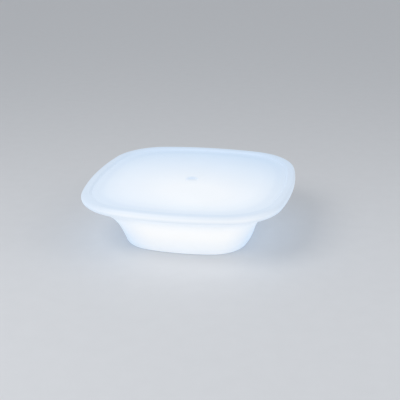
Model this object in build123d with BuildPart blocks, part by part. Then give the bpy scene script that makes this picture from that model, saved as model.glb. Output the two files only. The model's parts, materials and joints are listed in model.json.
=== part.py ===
"""Low light-up lounge table: a moulded glowing shell on a flared foot, lit by a unit in its underside."""

import os
from math import cos, hypot, pi, sin, sqrt, tan

from build123d import *

# All sizes are in millimetres. The origin is on the floor under the middle of the table, and +Z is up.

# Table shell
top_half = 335.0
table_height = 185.0
side_bow_radius = 1000.0
corner_radius = 182.0
wall = 5.0
foot_half = 208.0
foot_edge_radius = 10.0
flare_draft = 52.0
flare_power = 3.33
flare_sections = 12
rim_height = 28.0
rim_bulge = 11.4
rim_sections = 6
hollow_rim_inset = 7.0
well_mouth_radius = 3.0
rim_band = 25.0
rim_inner_radius = 5.0
dish_depth = 8.0
dish_slope = 6.0
dish_edge_radius = 4.0

# Vent plug in the middle of the top
vent_recess_radius = 20.0
vent_recess_depth = 2.5
vent_pad_margin = 6.0
vent_hole_radius = 4.0
plug_head_gap = 1.2
plug_head_thickness = 1.6
plug_crown = 0.7
plug_barb_height = 2.0
plug_barb_width = 0.8

# Rubber feet
feet_spread = 134.0
feet_radius = 11.0
feet_thickness = 5.0
foot_clearance = 2.0
foot_boss_margin = 4.0
foot_boss_height = 12.0
foot_screw_radius = 2.0
foot_screw_head_radius = 4.0
foot_screw_head_height = 1.6
foot_screw_recess = 2.4
foot_screw_length = 10.0
foot_screw_cap = 1.5
feet_edge_radius = 1.0

# Well in the underside and the hatch that the light unit closes
well_depth = 32.0
hatch_gap = 2.0

# Light unit base and its seal
base_gap = 6.0
base_thickness = 4.0
base_edge_radius = 1.0
seal_thickness = 1.5
base_screw_count = 6
base_screw_land = 8.0
base_screw_inset = 7.0
base_screw_radius = 2.0
base_screw_head_radius = 4.0
base_screw_head_height = 2.4
base_screw_length = 12.0
insert_radius = 3.6
insert_length = 9.0
insert_boss_wall = 4.4
insert_boss_cap = 3.0

# Diffuser dome
dome_gap = 3.3
dome_wall = 2.5
dome_side_height = 52.0
dome_crown = 26.0
dome_flange_width = 10.0
dome_flange_thickness = 3.0
dome_seal_thickness = 1.2
dome_seal_inset = 1.0
dome_screw_count = 6
dome_screw_start = 30.0
small_screw_radius = 1.5
small_screw_head_radius = 2.7
small_screw_head_height = 2.0
small_screw_bite = 3.2
screw_socket_share = 0.5
screw_socket_depth_share = 0.6
screw_edge_share = 0.25

# Battery
cell_radius = 9.2
cell_length = 65.0
cell_count = 3
cell_pitch = 19.4
cell_cap_radius = 3.0
cell_cap_height = 0.8
battery_middle_y = 25.0
cradle_floor = 2.0
cradle_wall = 2.0
cradle_height = 12.0
cradle_ear_radius = 4.5
cradle_ear_height = 3.0
cradle_ear_y = 12.0
cradle_ear_overlap = 1.0
tab_thickness = 0.4
tab_width = 8.0
tongue_width = 5.0
tongue_height = 2.0
clamp_width = 9.0
clamp_thickness = 2.0
clamp_foot_depth = 7.0
clamp_screw_bite = 7.0

# Control board
board_length = 68.0
board_depth = 42.0
board_thickness = 1.6
board_middle_y = -35.0
board_post_height = 10.5
board_post_radius = 3.5
board_post_inset = 4.0
board_screw_bite = 6.0
board_corner_radius = 2.0
chip_x = -8.0
chip_y = -42.0
chip_size = 10.0
chip_height = 1.4
chip_edge = 0.35
inductor_x = 10.0
inductor_y = -42.0
inductor_size = 12.0
inductor_height = 6.0
inductor_corner = 2.4
inductor_edge = 0.75
capacitor_x = -24.0
capacitor_rows = (-40.0, -30.0)
capacitor_radius = 4.0
capacitor_height = 9.0
capacitor_edge = 0.7
socket_length = 9.0
socket_depth = 5.0
socket_height = 6.0
socket_chamfer = 0.5
battery_socket_y = -20.0

# Power button, its spring and the switch above it
button_x = -16.0
button_y = -38.0
button_radius = 7.0
button_proud = 1.0
button_travel = 1.5
button_edge = 0.8
button_flange_radius = 9.4
button_flange_thickness = 1.5
button_dish_radius = 5.0
button_dish_depth = 0.4
stem_radius = 1.6
stem_overlap = 1.2
switch_size = 8.0
switch_height = 4.5
spring_wire = 0.7
spring_mean_radius = 6.7
spring_turns = 4

# Charging port, its jack and its flap
port_x = 16.0
port_y = -38.0
port_radius = 5.0
jack_size = 12.6
jack_bore_radius = 2.9
jack_bore_depth = 9.0
jack_pin_radius = 1.0
jack_pin_length = 7.5
jack_pin_edge = 0.5
flap_width = 16.0
flap_reach = 9.0
flap_thickness = 2.0
flap_tab_width = 8.0
flap_tab_length = 3.0
flap_corner = 3.0
hinge_offset = 13.0
hinge_drop = 2.7
hinge_barrel_radius = 2.2
hinge_barrel_length = 10.0
hinge_pin_radius = 1.0
hinge_lug_thickness = 3.0
hinge_lug_radius = 2.4

# Charge light
pipe_y = -50.0
pipe_radius = 1.5
pipe_head_radius = 2.6
pipe_head_height = 1.0
pipe_head_edge = 0.5

# Light board and the plate that cools it
pillar_angle = 30.0
pillar_radius = 3.5
pillar_height = 40.0
pillar_screw_bite = 5.0
spreader_gap = 5.5
spreader_thickness = 3.0
light_board_inset = 10.0
light_board_thickness = 1.6
light_size = 5.0
light_height = 1.6
light_ring_inset = 12.0
light_ring_step = 22.0
inner_light_count = 8
outer_light_count = 16
light_screw_count = 4
lead_hole_radius = 3.5

# Leads
lead_radius = 0.7
lead_spacing = 2.6
lead_hole_x = 24.0
lead_hole_y = -22.0
lead_socket_y = -28.0
lead_bend_share = 0.45
battery_lead_rise = 9.0
battery_lead_swing = 9.0
battery_lead_slant = 12.0
battery_lead_crest = 10.0
battery_lead_spread = 8.0
battery_lead_turn = 3.0
battery_lead_brow = 8.0
battery_lead_drop = 4.0
light_lead_rise = 8.0
light_lead_climb = 17.0
light_lead_crest = 5.0
light_lead_run = 9.6
light_lead_slope = 5.0

# Clearances
seat_gap = 0.1
loose_gap = 0.3
running_gap = 0.05

# Levels and places that follow from the sizes above
shell_bottom = foot_clearance
flare_bottom = shell_bottom + foot_edge_radius
rim_bottom = table_height - rim_height
rim_middle = rim_bottom + rim_height / 2
rim_neck_half = top_half - rim_bulge
dish_level = table_height - dish_depth
dish_half = top_half - rim_band
cavity_top = dish_level - wall
well_ceiling = shell_bottom + well_depth
base_top = well_ceiling - seal_thickness
base_bottom = base_top - base_thickness
dome_bottom = base_top + dome_seal_thickness
dome_flange_top = dome_bottom + dome_flange_thickness
cell_level = base_top + cradle_floor + cell_radius + seat_gap
cradle_top = base_top + cradle_height
cradle_inner_length = cell_length + 2 * (cell_cap_height + tab_thickness + seat_gap)
cradle_length = cradle_inner_length + 2 * cradle_wall
cradle_depth = cell_pitch * (cell_count - 1) + 2 * (cell_radius + seat_gap + cradle_wall)
strip_length = cell_pitch * (cell_count - 1) + tab_width
strip_bottom = cell_level - tab_width / 2
strip_slot_depth = (cradle_inner_length - cell_length) / 2
strip_slot_x = (cradle_inner_length + cell_length) / 4
cradle_reach = hypot(cradle_length / 2, battery_middle_y + cradle_depth / 2)
board_reach = hypot(board_length / 2, board_depth / 2 - board_middle_y)
dome_inner_radius = max(cradle_reach, board_reach) + dome_gap
dome_radius = dome_inner_radius + dome_wall
dome_flange_radius = dome_radius + dome_flange_width
dome_screw_circle = (dome_radius + dome_flange_radius) / 2
hatch_radius = dome_flange_radius + hatch_gap
base_screw_circle = hatch_radius + base_screw_land
base_radius = base_screw_circle + base_screw_inset
well_radius = base_radius + base_gap
board_bottom = base_top + board_post_height
board_top = board_bottom + board_thickness
button_bottom = base_bottom - button_proud
button_flange_bottom = base_top + loose_gap
button_flange_top = button_flange_bottom + button_flange_thickness
switch_bottom = board_bottom - switch_height
hinge_y = port_y + hinge_offset
hinge_level = base_bottom - hinge_drop
flap_top = base_bottom - loose_gap
flap_bottom = flap_top - flap_thickness
spreader_bottom = base_top + pillar_height
spreader_top = spreader_bottom + spreader_thickness
light_board_top = spreader_top + light_board_thickness
spreader_radius = dome_inner_radius - spreader_gap
light_board_radius = spreader_radius - light_board_inset
pillar_circle = (spreader_radius + light_board_radius) / 2
outer_light_circle = light_board_radius - light_ring_inset
inner_light_circle = outer_light_circle - light_ring_step
light_screw_circle = (outer_light_circle + inner_light_circle) / 2

feet_seat_depth = feet_thickness - foot_clearance
vent_floor = dish_level - vent_recess_depth
plug_head_radius = vent_recess_radius - plug_head_gap
plug_edge = vent_floor + plug_head_thickness
plug_stem_radius = vent_hole_radius - seat_gap
barb_top = vent_floor - wall - seat_gap
plug_bottom = barb_top - plug_barb_height
dome_side_top = dome_bottom + dome_side_height
dome_top = dome_side_top + dome_crown
tongue_top = cell_level + cell_radius + tongue_height
clamp_rise = cell_level + cell_radius + seat_gap + clamp_thickness - cradle_top
flap_length = flap_reach + hinge_offset - hinge_lug_radius - loose_gap
hinge_lug_x = hinge_barrel_length / 2 + loose_gap + hinge_lug_thickness / 2
socket_top = board_top + socket_height

pillar_x = pillar_circle * cos(pillar_angle * pi / 180)
pillar_y = pillar_circle * sin(pillar_angle * pi / 180)
pillar_places = [(x, y) for x in (-pillar_x, pillar_x) for y in (-pillar_y, pillar_y)]
cell_places = [battery_middle_y + cell_pitch * (i - (cell_count - 1) / 2) for i in range(cell_count)]
cradle_ear_x = cradle_length / 2 + cradle_ear_radius - cradle_ear_overlap
cradle_ear_places = [(side * cradle_ear_x, battery_middle_y + cradle_ear_y) for side in (-1, 1)]
clamp_foot_y = cradle_depth / 2 + clamp_foot_depth / 2
clamp_screw_places = [(0, battery_middle_y + side * clamp_foot_y) for side in (-1, 1)]

STANDING = (Align.CENTER, Align.CENTER, Align.MIN)
HANGING = (Align.CENTER, Align.CENTER, Align.MAX)


def feet_places():
    return GridLocations(2 * feet_spread, 2 * feet_spread, 2, 2)


def board_screw_places():
    return GridLocations(
        board_length - 2 * board_post_inset, board_depth - 2 * board_post_inset, 2, 2
    )


def bowed_square(half, level):
    """Draws the table's outline, four bowed sides and four round corners, at one half-width and level."""
    scale = half / top_half
    bow = side_bow_radius * scale
    corner = corner_radius * scale
    bow_centre = half - bow
    reach = bow - corner
    corner_centre = (bow_centre + sqrt(2 * reach**2 - bow_centre**2)) / 2
    toward_corner = Vector(corner_centre, corner_centre - bow_centre) / reach
    side_end = Vector(0, bow_centre) + toward_corner * bow
    side_start = Vector(-side_end.X, side_end.Y)
    corner_middle = Vector(1, 1).normalized() * (corner_centre * sqrt(2) + corner)
    corner_end = Vector(side_end.Y, side_end.X)
    with BuildSketch(Plane.XY.offset(level)) as outline:
        with BuildLine():
            for quarter in range(4):
                turn = -90 * quarter
                side = [point.rotate(Axis.Z, turn) for point in (side_start, Vector(0, half), side_end)]
                bend = [point.rotate(Axis.Z, turn) for point in (side_end, corner_middle, corner_end)]
                ThreePointArc(*side)
                ThreePointArc(*bend)
        make_face()
    return outline.sketch


def flare_half(share):
    """Half-width of the flare at a share of its height, from the foot to the neck under the rim."""
    sweep_out = rim_neck_half - foot_half - flare_draft
    return foot_half + flare_draft * share + sweep_out * share**flare_power


def flare_level(share):
    return flare_bottom + (rim_bottom - flare_bottom) * share


def flare_lean(share):
    """How far the flare moves outwards for each millimetre up, at a share of its height."""
    sweep_out = rim_neck_half - foot_half - flare_draft
    outwards = flare_draft + sweep_out * flare_power * share ** (flare_power - 1)
    return outwards / (rim_bottom - flare_bottom)


def lay_tube(points, radius):
    """Sweeps a round lead along straight runs joined by the largest arcs that its runs allow."""
    route = [Vector(*point) for point in points]
    bends = []
    for before, corner, after in zip(route, route[1:], route[2:]):
        turn = (corner - before).get_angle(after - corner) * pi / 180
        shorter = min((corner - before).length, (after - corner).length)
        bends.append(lead_bend_share * shorter / tan(turn / 2))
    path = FilletPolyline(*route, radius=bends)
    start = Plane(origin=path @ 0, z_dir=path % 0)
    tube = sweep(start * Circle(radius), path=path)
    share = tube.volume / (pi * radius**2 * path.length)
    print("lead bends", [round(bend, 1) for bend in bends], "volume share", round(share, 4))
    return tube


def biarc(start, start_way, end, end_way):
    """Joins two points by two arcs, tangent to each other and to the way in and the way out."""
    chord = end - start
    along = chord.dot(start_way + end_way)
    slack = 2 * (1 - start_way.dot(end_way))
    reach = (sqrt(along**2 + slack * chord.dot(chord)) - along) / slack
    joint = (start + end + (start_way - end_way) * reach) / 2
    first = TangentArc(start, joint, tangent=start_way)
    return [first, TangentArc(joint, end, tangent=first % 1)]


def coil(mean_radius, wire, length, turns):
    """Winds a spring as one tube on quarter turns, up from its own origin, and prints its least gap."""
    climb = length - wire
    steps = 4 * turns
    rise = climb / (2 * pi * turns)
    points = []
    ways = []
    for step in range(steps + 1):
        angle = pi / 2 * step
        points.append(
            Vector(mean_radius * cos(angle), mean_radius * sin(angle), wire / 2 + climb * step / steps)
        )
        ways.append(Vector(-mean_radius * sin(angle), mean_radius * cos(angle), rise).normalized())
    arcs = []
    for step in range(steps):
        arcs += biarc(points[step], ways[step], points[step + 1], ways[step + 1])
    print("spring's least gap to itself", round(climb / turns - wire, 2))
    return sweep(Plane(origin=points[0], z_dir=ways[0]) * Circle(wire / 2), path=Wire(arcs))


def screw(radius, length, head_radius, head_height):
    """One screw pointing up, the bearing face of its socket head at its origin."""
    with BuildPart() as one:
        Cylinder(radius, length, align=STANDING)
        Cylinder(head_radius, head_height, align=HANGING)
        fillet(one.faces().sort_by(Axis.Z)[0].edges(), head_height * screw_edge_share)
        with BuildSketch(Plane.XY.offset(-head_height)):
            RegularPolygon(head_radius * screw_socket_share, 6)
        extrude(amount=head_height * screw_socket_depth_share, mode=Mode.SUBTRACT)
    return one.part


def small_screw(length):
    """One small screw pointing down, the bearing face of its head at its origin."""
    one = screw(small_screw_radius, length, small_screw_head_radius, small_screw_head_height)
    return one.rotate(Axis.X, 180)


def finish(part, name):
    """Names one piece and writes it."""
    part.label = name
    export_step(part, f"parts/{name}.step")


os.makedirs("parts", exist_ok=True)

# Hollow of the shell, one wall inside its outer faces
with BuildPart() as hollow:
    shares = [step / flare_sections for step in range(flare_sections + 1)]
    inner_sections = []
    for share in shares:
        lean = flare_lean(share)
        inset = wall / sqrt(1 + lean**2)
        inner_sections.append(bowed_square(flare_half(share) - inset, flare_level(share) + inset * lean))
    loft(inner_sections)
    hollow_floor = bowed_square(foot_half - foot_edge_radius, shell_bottom + wall)
    loft([hollow_floor, inner_sections[0]], ruled=True)
    hollow_ceiling = bowed_square(top_half - hollow_rim_inset, cavity_top)
    loft([inner_sections[-1], hollow_ceiling], ruled=True)

# Moulded shell: flared foot, overhanging rim, dished top, and a well with a hatch in the underside
with BuildPart() as body_shell:
    loft([bowed_square(flare_half(share), flare_level(share)) for share in shares])
    loft([bowed_square(foot_half, level) for level in (shell_bottom, flare_bottom)], ruled=True)
    angles = [pi * (step / rim_sections - 0.5) for step in range(rim_sections + 1)]
    rim_outlines = [
        bowed_square(rim_neck_half + rim_bulge * cos(angle), rim_middle + rim_height / 2 * sin(angle))
        for angle in angles
    ]
    loft(rim_outlines)
    fillet(body_shell.faces().sort_by(Axis.Z)[0].edges(), foot_edge_radius - seat_gap)
    dish = [bowed_square(dish_half - dish_slope, dish_level), bowed_square(dish_half, table_height)]
    loft(dish, ruled=True, mode=Mode.SUBTRACT)
    crest = body_shell.faces().filter_by(Plane.XY).sort_by(Axis.Z)[-1]
    fillet(crest.inner_wires()[0].edges(), rim_inner_radius)
    dish_floor = body_shell.faces().filter_by(Plane.XY).sort_by(Axis.Z)[-2]
    fillet(dish_floor.outer_wire().edges(), dish_edge_radius)
    add(hollow.part, mode=Mode.SUBTRACT)
    # Walls of the well, bosses for the feet and the inserts, and a pad under the vent
    with Locations((0, 0, shell_bottom)):
        Cylinder(well_radius + wall, well_depth + wall, align=STANDING)
        with feet_places():
            Cylinder(feet_radius + foot_boss_margin, foot_boss_height, align=STANDING)
    with Locations((0, 0, well_ceiling)):
        with PolarLocations(base_screw_circle, base_screw_count):
            Cylinder(insert_radius + insert_boss_wall, insert_length + insert_boss_cap, align=STANDING)
    with Locations((0, 0, vent_floor - wall)):
        Cylinder(vent_recess_radius + vent_pad_margin, cavity_top - vent_floor + wall, align=STANDING)
    # Well, hatch, seats for the inserts and feet, and the vent
    with Locations((0, 0, shell_bottom)):
        Cylinder(well_radius, well_depth, align=STANDING, mode=Mode.SUBTRACT)
        with feet_places():
            Cylinder(feet_radius, feet_seat_depth, align=STANDING, mode=Mode.SUBTRACT)
            Cylinder(
                foot_screw_radius,
                foot_boss_height - foot_screw_cap,
                align=STANDING,
                mode=Mode.SUBTRACT,
            )
    with Locations((0, 0, well_ceiling)):
        Cylinder(hatch_radius, wall, align=STANDING, mode=Mode.SUBTRACT)
        with PolarLocations(base_screw_circle, base_screw_count):
            Cylinder(insert_radius, insert_length, align=STANDING, mode=Mode.SUBTRACT)
            Cylinder(
                base_screw_radius + seat_gap,
                insert_length + insert_boss_cap / 2,
                align=STANDING,
                mode=Mode.SUBTRACT,
            )
    with Locations((0, 0, dish_level)):
        Hole(vent_recess_radius, vent_recess_depth)
        Hole(vent_hole_radius, vent_recess_depth + wall)
    bottom_rings = body_shell.faces().sort_by(Axis.Z)[0].inner_wires()
    fillet(bottom_rings.sort_by(SortBy.LENGTH)[-1].edges(), well_mouth_radius)
finish(body_shell.part, "body_shell")

# Plug that closes the moulding vent
with BuildPart() as vent_plug:
    with BuildSketch(Plane.XZ):
        with BuildLine():
            Line((0, plug_bottom), (plug_stem_radius, plug_bottom))
            Line((plug_stem_radius, plug_bottom), (plug_stem_radius + plug_barb_width, barb_top))
            Line((plug_stem_radius + plug_barb_width, barb_top), (plug_stem_radius, barb_top))
            Line((plug_stem_radius, barb_top), (plug_stem_radius, vent_floor))
            Line((plug_stem_radius, vent_floor), (plug_head_radius, vent_floor))
            Line((plug_head_radius, vent_floor), (plug_head_radius, plug_edge))
            TangentArc((0, plug_edge + plug_crown), (plug_head_radius, plug_edge), tangent=(1, 0))
            Line((0, plug_edge + plug_crown), (0, plug_bottom))
        make_face()
    revolve(axis=Axis.Z)
finish(vent_plug.part, "vent_plug")

# Brass inserts moulded into the ceiling of the well
with BuildPart() as base_inserts:
    with BuildSketch(Plane.XY.offset(well_ceiling)):
        with PolarLocations(base_screw_circle, base_screw_count):
            Circle(insert_radius)
            Circle(base_screw_radius + seat_gap, mode=Mode.SUBTRACT)
    extrude(amount=insert_length)
finish(base_inserts.part, "base_inserts")

# Rubber feet and their screws
with BuildPart() as rubber_feet:
    with BuildSketch():
        with feet_places():
            Circle(feet_radius - seat_gap)
    extrude(amount=feet_thickness)
    fillet(rubber_feet.faces().filter_by(Plane.XY).group_by(Axis.Z)[0].edges(), feet_edge_radius)
    with Locations((0, 0, foot_screw_recess)):
        with feet_places():
            Hole(foot_screw_head_radius + loose_gap, foot_screw_recess)
    with feet_places():
        Hole(foot_screw_radius + seat_gap)
finish(rubber_feet.part, "rubber_feet")

with BuildPart() as foot_screws:
    with Locations((0, 0, foot_screw_recess)):
        with feet_places():
            add(screw(foot_screw_radius, foot_screw_length, foot_screw_head_radius, foot_screw_head_height))
finish(foot_screws.part, "foot_screws")

# Base of the light unit, which closes the hatch from below
with BuildPart() as light_unit_base:
    with BuildSketch(Plane.XY.offset(base_bottom)):
        Circle(base_radius)
    extrude(amount=base_thickness)
    fillet(light_unit_base.faces().sort_by(Axis.Z)[0].edges(), base_edge_radius)
    with BuildSketch(Plane.XY.offset(base_top)):
        with Locations((0, board_middle_y)):
            with board_screw_places():
                Circle(board_post_radius)
    extrude(amount=board_post_height)
    for side in (-1, 1):
        with BuildSketch(Plane.YZ.offset(port_x + side * hinge_lug_x)):
            with Locations((hinge_y, hinge_level)):
                Circle(hinge_lug_radius)
                Rectangle(2 * hinge_lug_radius, hinge_drop, align=(Align.CENTER, Align.MIN))
                Circle(hinge_pin_radius, mode=Mode.SUBTRACT)
        extrude(amount=hinge_lug_thickness / 2, both=True)
    # Openings for the button, the port and the charge light
    with Locations((button_x, button_y)):
        Hole(button_radius + loose_gap)
    with Locations((port_x, port_y)):
        Hole(port_radius)
    with Locations((0, pipe_y)):
        Hole(pipe_radius + seat_gap)
    # Screw holes
    with PolarLocations(base_screw_circle, base_screw_count):
        Hole(base_screw_radius + seat_gap)
    with Locations((0, 0, base_top)):
        with PolarLocations(dome_screw_circle, dome_screw_count, start_angle=dome_screw_start):
            Hole(small_screw_radius, small_screw_bite)
        with Locations(cradle_ear_places + pillar_places):
            Hole(small_screw_radius, small_screw_bite)
    with Locations((0, board_middle_y, board_bottom)):
        with board_screw_places():
            Hole(small_screw_radius, board_screw_bite)
finish(light_unit_base.part, "light_unit_base")

with BuildPart() as base_seal:
    with BuildSketch(Plane.XY.offset(base_top)):
        Circle(base_radius - base_edge_radius)
        Circle(hatch_radius, mode=Mode.SUBTRACT)
        with PolarLocations(base_screw_circle, base_screw_count):
            Circle(base_screw_radius + seat_gap, mode=Mode.SUBTRACT)
    extrude(amount=seal_thickness)
finish(base_seal.part, "base_seal")

with BuildPart() as base_screws:
    with Locations((0, 0, base_bottom)):
        with PolarLocations(base_screw_circle, base_screw_count):
            add(screw(base_screw_radius, base_screw_length, base_screw_head_radius, base_screw_head_height))
finish(base_screws.part, "base_screws")

# Diffuser dome over the lights, on its own seal
with BuildPart() as diffuser_dome:
    with BuildSketch(Plane.XZ):
        with BuildLine():
            Polyline(
                (dome_inner_radius, dome_side_top),
                (dome_inner_radius, dome_bottom),
                (dome_flange_radius, dome_bottom),
                (dome_flange_radius, dome_flange_top),
                (dome_radius, dome_flange_top),
                (dome_radius, dome_side_top),
            )
            TangentArc((0, dome_top), (dome_radius, dome_side_top), tangent=(1, 0))
            Line((0, dome_top), (0, dome_top - dome_wall))
            TangentArc((0, dome_top - dome_wall), (dome_inner_radius, dome_side_top), tangent=(1, 0))
        make_face()
    revolve(axis=Axis.Z)
    with Locations((0, 0, dome_flange_top)):
        with PolarLocations(dome_screw_circle, dome_screw_count, start_angle=dome_screw_start):
            Hole(small_screw_radius + seat_gap, dome_flange_thickness)
finish(diffuser_dome.part, "diffuser_dome")

with BuildPart() as dome_seal:
    with BuildSketch(Plane.XY.offset(base_top)):
        Circle(dome_flange_radius - dome_seal_inset)
        Circle(dome_inner_radius + dome_seal_inset, mode=Mode.SUBTRACT)
        with PolarLocations(dome_screw_circle, dome_screw_count, start_angle=dome_screw_start):
            Circle(small_screw_radius + seat_gap, mode=Mode.SUBTRACT)
    extrude(amount=dome_seal_thickness)
finish(dome_seal.part, "dome_seal")

with BuildPart() as dome_screws:
    with Locations((0, 0, dome_flange_top)):
        with PolarLocations(dome_screw_circle, dome_screw_count, start_angle=dome_screw_start):
            add(small_screw(dome_flange_thickness + dome_seal_thickness + small_screw_bite - seat_gap))
finish(dome_screws.part, "dome_screws")

# Battery: cells in a cradle, joined by contact strips and held by a clamp
with BuildPart() as battery_cells:
    for cell_y in cell_places:
        with BuildSketch(Plane.YZ.offset(-cell_length / 2)):
            with Locations((cell_y, cell_level)):
                Circle(cell_radius)
        extrude(amount=cell_length)
        with BuildSketch(Plane.YZ.offset(cell_length / 2)):
            with Locations((cell_y, cell_level)):
                Circle(cell_cap_radius)
        extrude(amount=cell_cap_height)
finish(battery_cells.part, "battery_cells")

with BuildPart() as battery_cradle:
    with Locations((0, battery_middle_y, base_top)):
        Box(cradle_length, cradle_depth, cradle_height, align=STANDING)
        Box(clamp_width, cradle_depth + 2 * clamp_foot_depth, cradle_height, align=STANDING)
    with Locations([(x, y, base_top) for x, y in cradle_ear_places]):
        Cylinder(cradle_ear_radius, cradle_ear_height, align=STANDING)
    for cell_y in cell_places:
        with BuildSketch(Plane.YZ.offset(-cradle_inner_length / 2)):
            with Locations((cell_y, cell_level)):
                Circle(cell_radius + seat_gap)
        extrude(amount=cradle_inner_length, mode=Mode.SUBTRACT)
    with Locations((0, battery_middle_y, strip_bottom - seat_gap)):
        with Locations((-strip_slot_x, 0), (strip_slot_x, 0)):
            Box(
                strip_slot_depth,
                strip_length + 2 * seat_gap,
                cradle_height,
                align=STANDING,
                mode=Mode.SUBTRACT,
            )
    with Locations([(x, y, base_top + cradle_ear_height) for x, y in cradle_ear_places]):
        Hole(small_screw_radius + seat_gap, cradle_ear_height)
    with Locations([(x, y, cradle_top) for x, y in clamp_screw_places]):
        Hole(small_screw_radius, clamp_screw_bite)
finish(battery_cradle.part, "battery_cradle")

with BuildPart() as cradle_screws:
    with Locations([(x, y, base_top + cradle_ear_height) for x, y in cradle_ear_places]):
        add(small_screw(cradle_ear_height + small_screw_bite - seat_gap))
finish(cradle_screws.part, "cradle_screws")

with BuildPart() as contact_strips:
    for face_x in (-cell_length / 2 - tab_thickness, cell_length / 2 + cell_cap_height):
        with BuildSketch(Plane.YZ.offset(face_x)):
            with Locations((battery_middle_y, cell_level)):
                Rectangle(strip_length, tab_width)
            with Locations((cell_places[0], cell_level)):
                Rectangle(tongue_width, tongue_top - cell_level, align=(Align.CENTER, Align.MIN))
        extrude(amount=tab_thickness)
finish(contact_strips.part, "contact_strips")

with BuildPart() as battery_clamp:
    with Locations((0, battery_middle_y, cradle_top)):
        Box(clamp_width, cradle_depth, clamp_rise, align=STANDING)
        Box(
            clamp_width,
            cradle_depth - 2 * cradle_wall,
            clamp_rise - clamp_thickness,
            align=STANDING,
            mode=Mode.SUBTRACT,
        )
        for side in (-1, 1):
            with Locations((0, side * clamp_foot_y, 0)):
                Box(clamp_width, clamp_foot_depth, clamp_thickness, align=STANDING)
    with Locations([(x, y, cradle_top + clamp_thickness) for x, y in clamp_screw_places]):
        Hole(small_screw_radius + seat_gap, clamp_thickness)
finish(battery_clamp.part, "battery_clamp")

with BuildPart() as clamp_screws:
    with Locations([(x, y, cradle_top + clamp_thickness) for x, y in clamp_screw_places]):
        add(small_screw(clamp_thickness + clamp_screw_bite - seat_gap))
finish(clamp_screws.part, "clamp_screws")

# Control board and what is soldered to it
with BuildPart() as control_board:
    with Locations((0, board_middle_y, board_bottom)):
        Box(board_length, board_depth, board_thickness, align=STANDING)
    fillet(control_board.edges().filter_by(Axis.Z), board_corner_radius)
    with Locations((0, board_middle_y, board_top)):
        with board_screw_places():
            Hole(small_screw_radius + seat_gap, board_thickness)
finish(control_board.part, "control_board")

with BuildPart() as board_screws:
    with Locations((0, board_middle_y, board_top)):
        with board_screw_places():
            add(small_screw(board_thickness + board_screw_bite - seat_gap))
finish(board_screws.part, "board_screws")

with BuildPart() as control_chip:
    with Locations((chip_x, chip_y, board_top)):
        Box(chip_size, chip_size, chip_height, align=STANDING)
    chamfer(control_chip.faces().sort_by(Axis.Z)[-1].edges(), chip_edge)
finish(control_chip.part, "control_chip")

with BuildPart() as power_inductor:
    with Locations((inductor_x, inductor_y, board_top)):
        Box(inductor_size, inductor_size, inductor_height, align=STANDING)
    fillet(power_inductor.edges().filter_by(Axis.Z), inductor_corner)
    fillet(power_inductor.faces().sort_by(Axis.Z)[-1].edges(), inductor_edge)
finish(power_inductor.part, "power_inductor")

with BuildPart() as capacitors:
    with Locations([(capacitor_x, y, board_top) for y in capacitor_rows]):
        Cylinder(capacitor_radius, capacitor_height, align=STANDING)
    fillet(capacitors.faces().filter_by(Plane.XY).group_by(Axis.Z)[-1].edges(), capacitor_edge)
finish(capacitors.part, "capacitors")

with BuildPart() as lead_sockets:
    with Locations((0, battery_socket_y, board_top), (lead_hole_x, lead_socket_y, board_top)):
        Box(socket_length, socket_depth, socket_height, align=STANDING)
    chamfer(lead_sockets.faces().filter_by(Plane.XY).group_by(Axis.Z)[-1].edges(), socket_chamfer)
finish(lead_sockets.part, "lead_sockets")

# Power button with its switch and return spring
with BuildPart() as power_button:
    with BuildSketch(Plane.XZ):
        with BuildLine():
            rim_start = (button_dish_radius, button_bottom)
            TangentArc((0, button_bottom + button_dish_depth), rim_start, tangent=(1, 0))
            Polyline(
                rim_start,
                (button_radius - button_edge, button_bottom),
                (button_radius, button_bottom + button_edge),
                (button_radius, button_flange_bottom),
                (button_flange_radius, button_flange_bottom),
                (button_flange_radius, button_flange_top),
                (stem_radius, button_flange_top),
                (stem_radius, switch_bottom + stem_overlap),
                (0, switch_bottom + stem_overlap),
                (0, button_bottom + button_dish_depth),
            )
        make_face()
    revolve(axis=Axis.Z)
finish(power_button.part.moved(Location((button_x, button_y, 0))), "power_button")

with BuildPart() as power_switch:
    with Locations((button_x, button_y, switch_bottom)):
        Box(switch_size, switch_size, switch_height, align=STANDING)
        Cylinder(
            stem_radius + loose_gap,
            stem_overlap + button_travel + loose_gap,
            align=STANDING,
            mode=Mode.SUBTRACT,
        )
finish(power_switch.part, "power_switch")

spring_length = board_bottom - button_flange_top - 2 * seat_gap
button_spring = coil(spring_mean_radius, spring_wire, spring_length, spring_turns)
spring_seat = Location((button_x, button_y, button_flange_top + seat_gap))
finish(button_spring.moved(spring_seat), "button_spring")

# Charging jack behind the port
with BuildPart() as charge_jack:
    with Locations((port_x, port_y, base_top)):
        Box(jack_size, jack_size, board_post_height, align=STANDING)
        Cylinder(jack_bore_radius, jack_bore_depth, align=STANDING, mode=Mode.SUBTRACT)
finish(charge_jack.part, "charge_jack")

with BuildPart() as jack_contact:
    with Locations((port_x, port_y, base_top + jack_bore_depth)):
        Cylinder(jack_pin_radius, jack_pin_length, align=HANGING)
    fillet(jack_contact.faces().sort_by(Axis.Z)[0].edges(), jack_pin_edge)
finish(jack_contact.part, "jack_contact")

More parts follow.
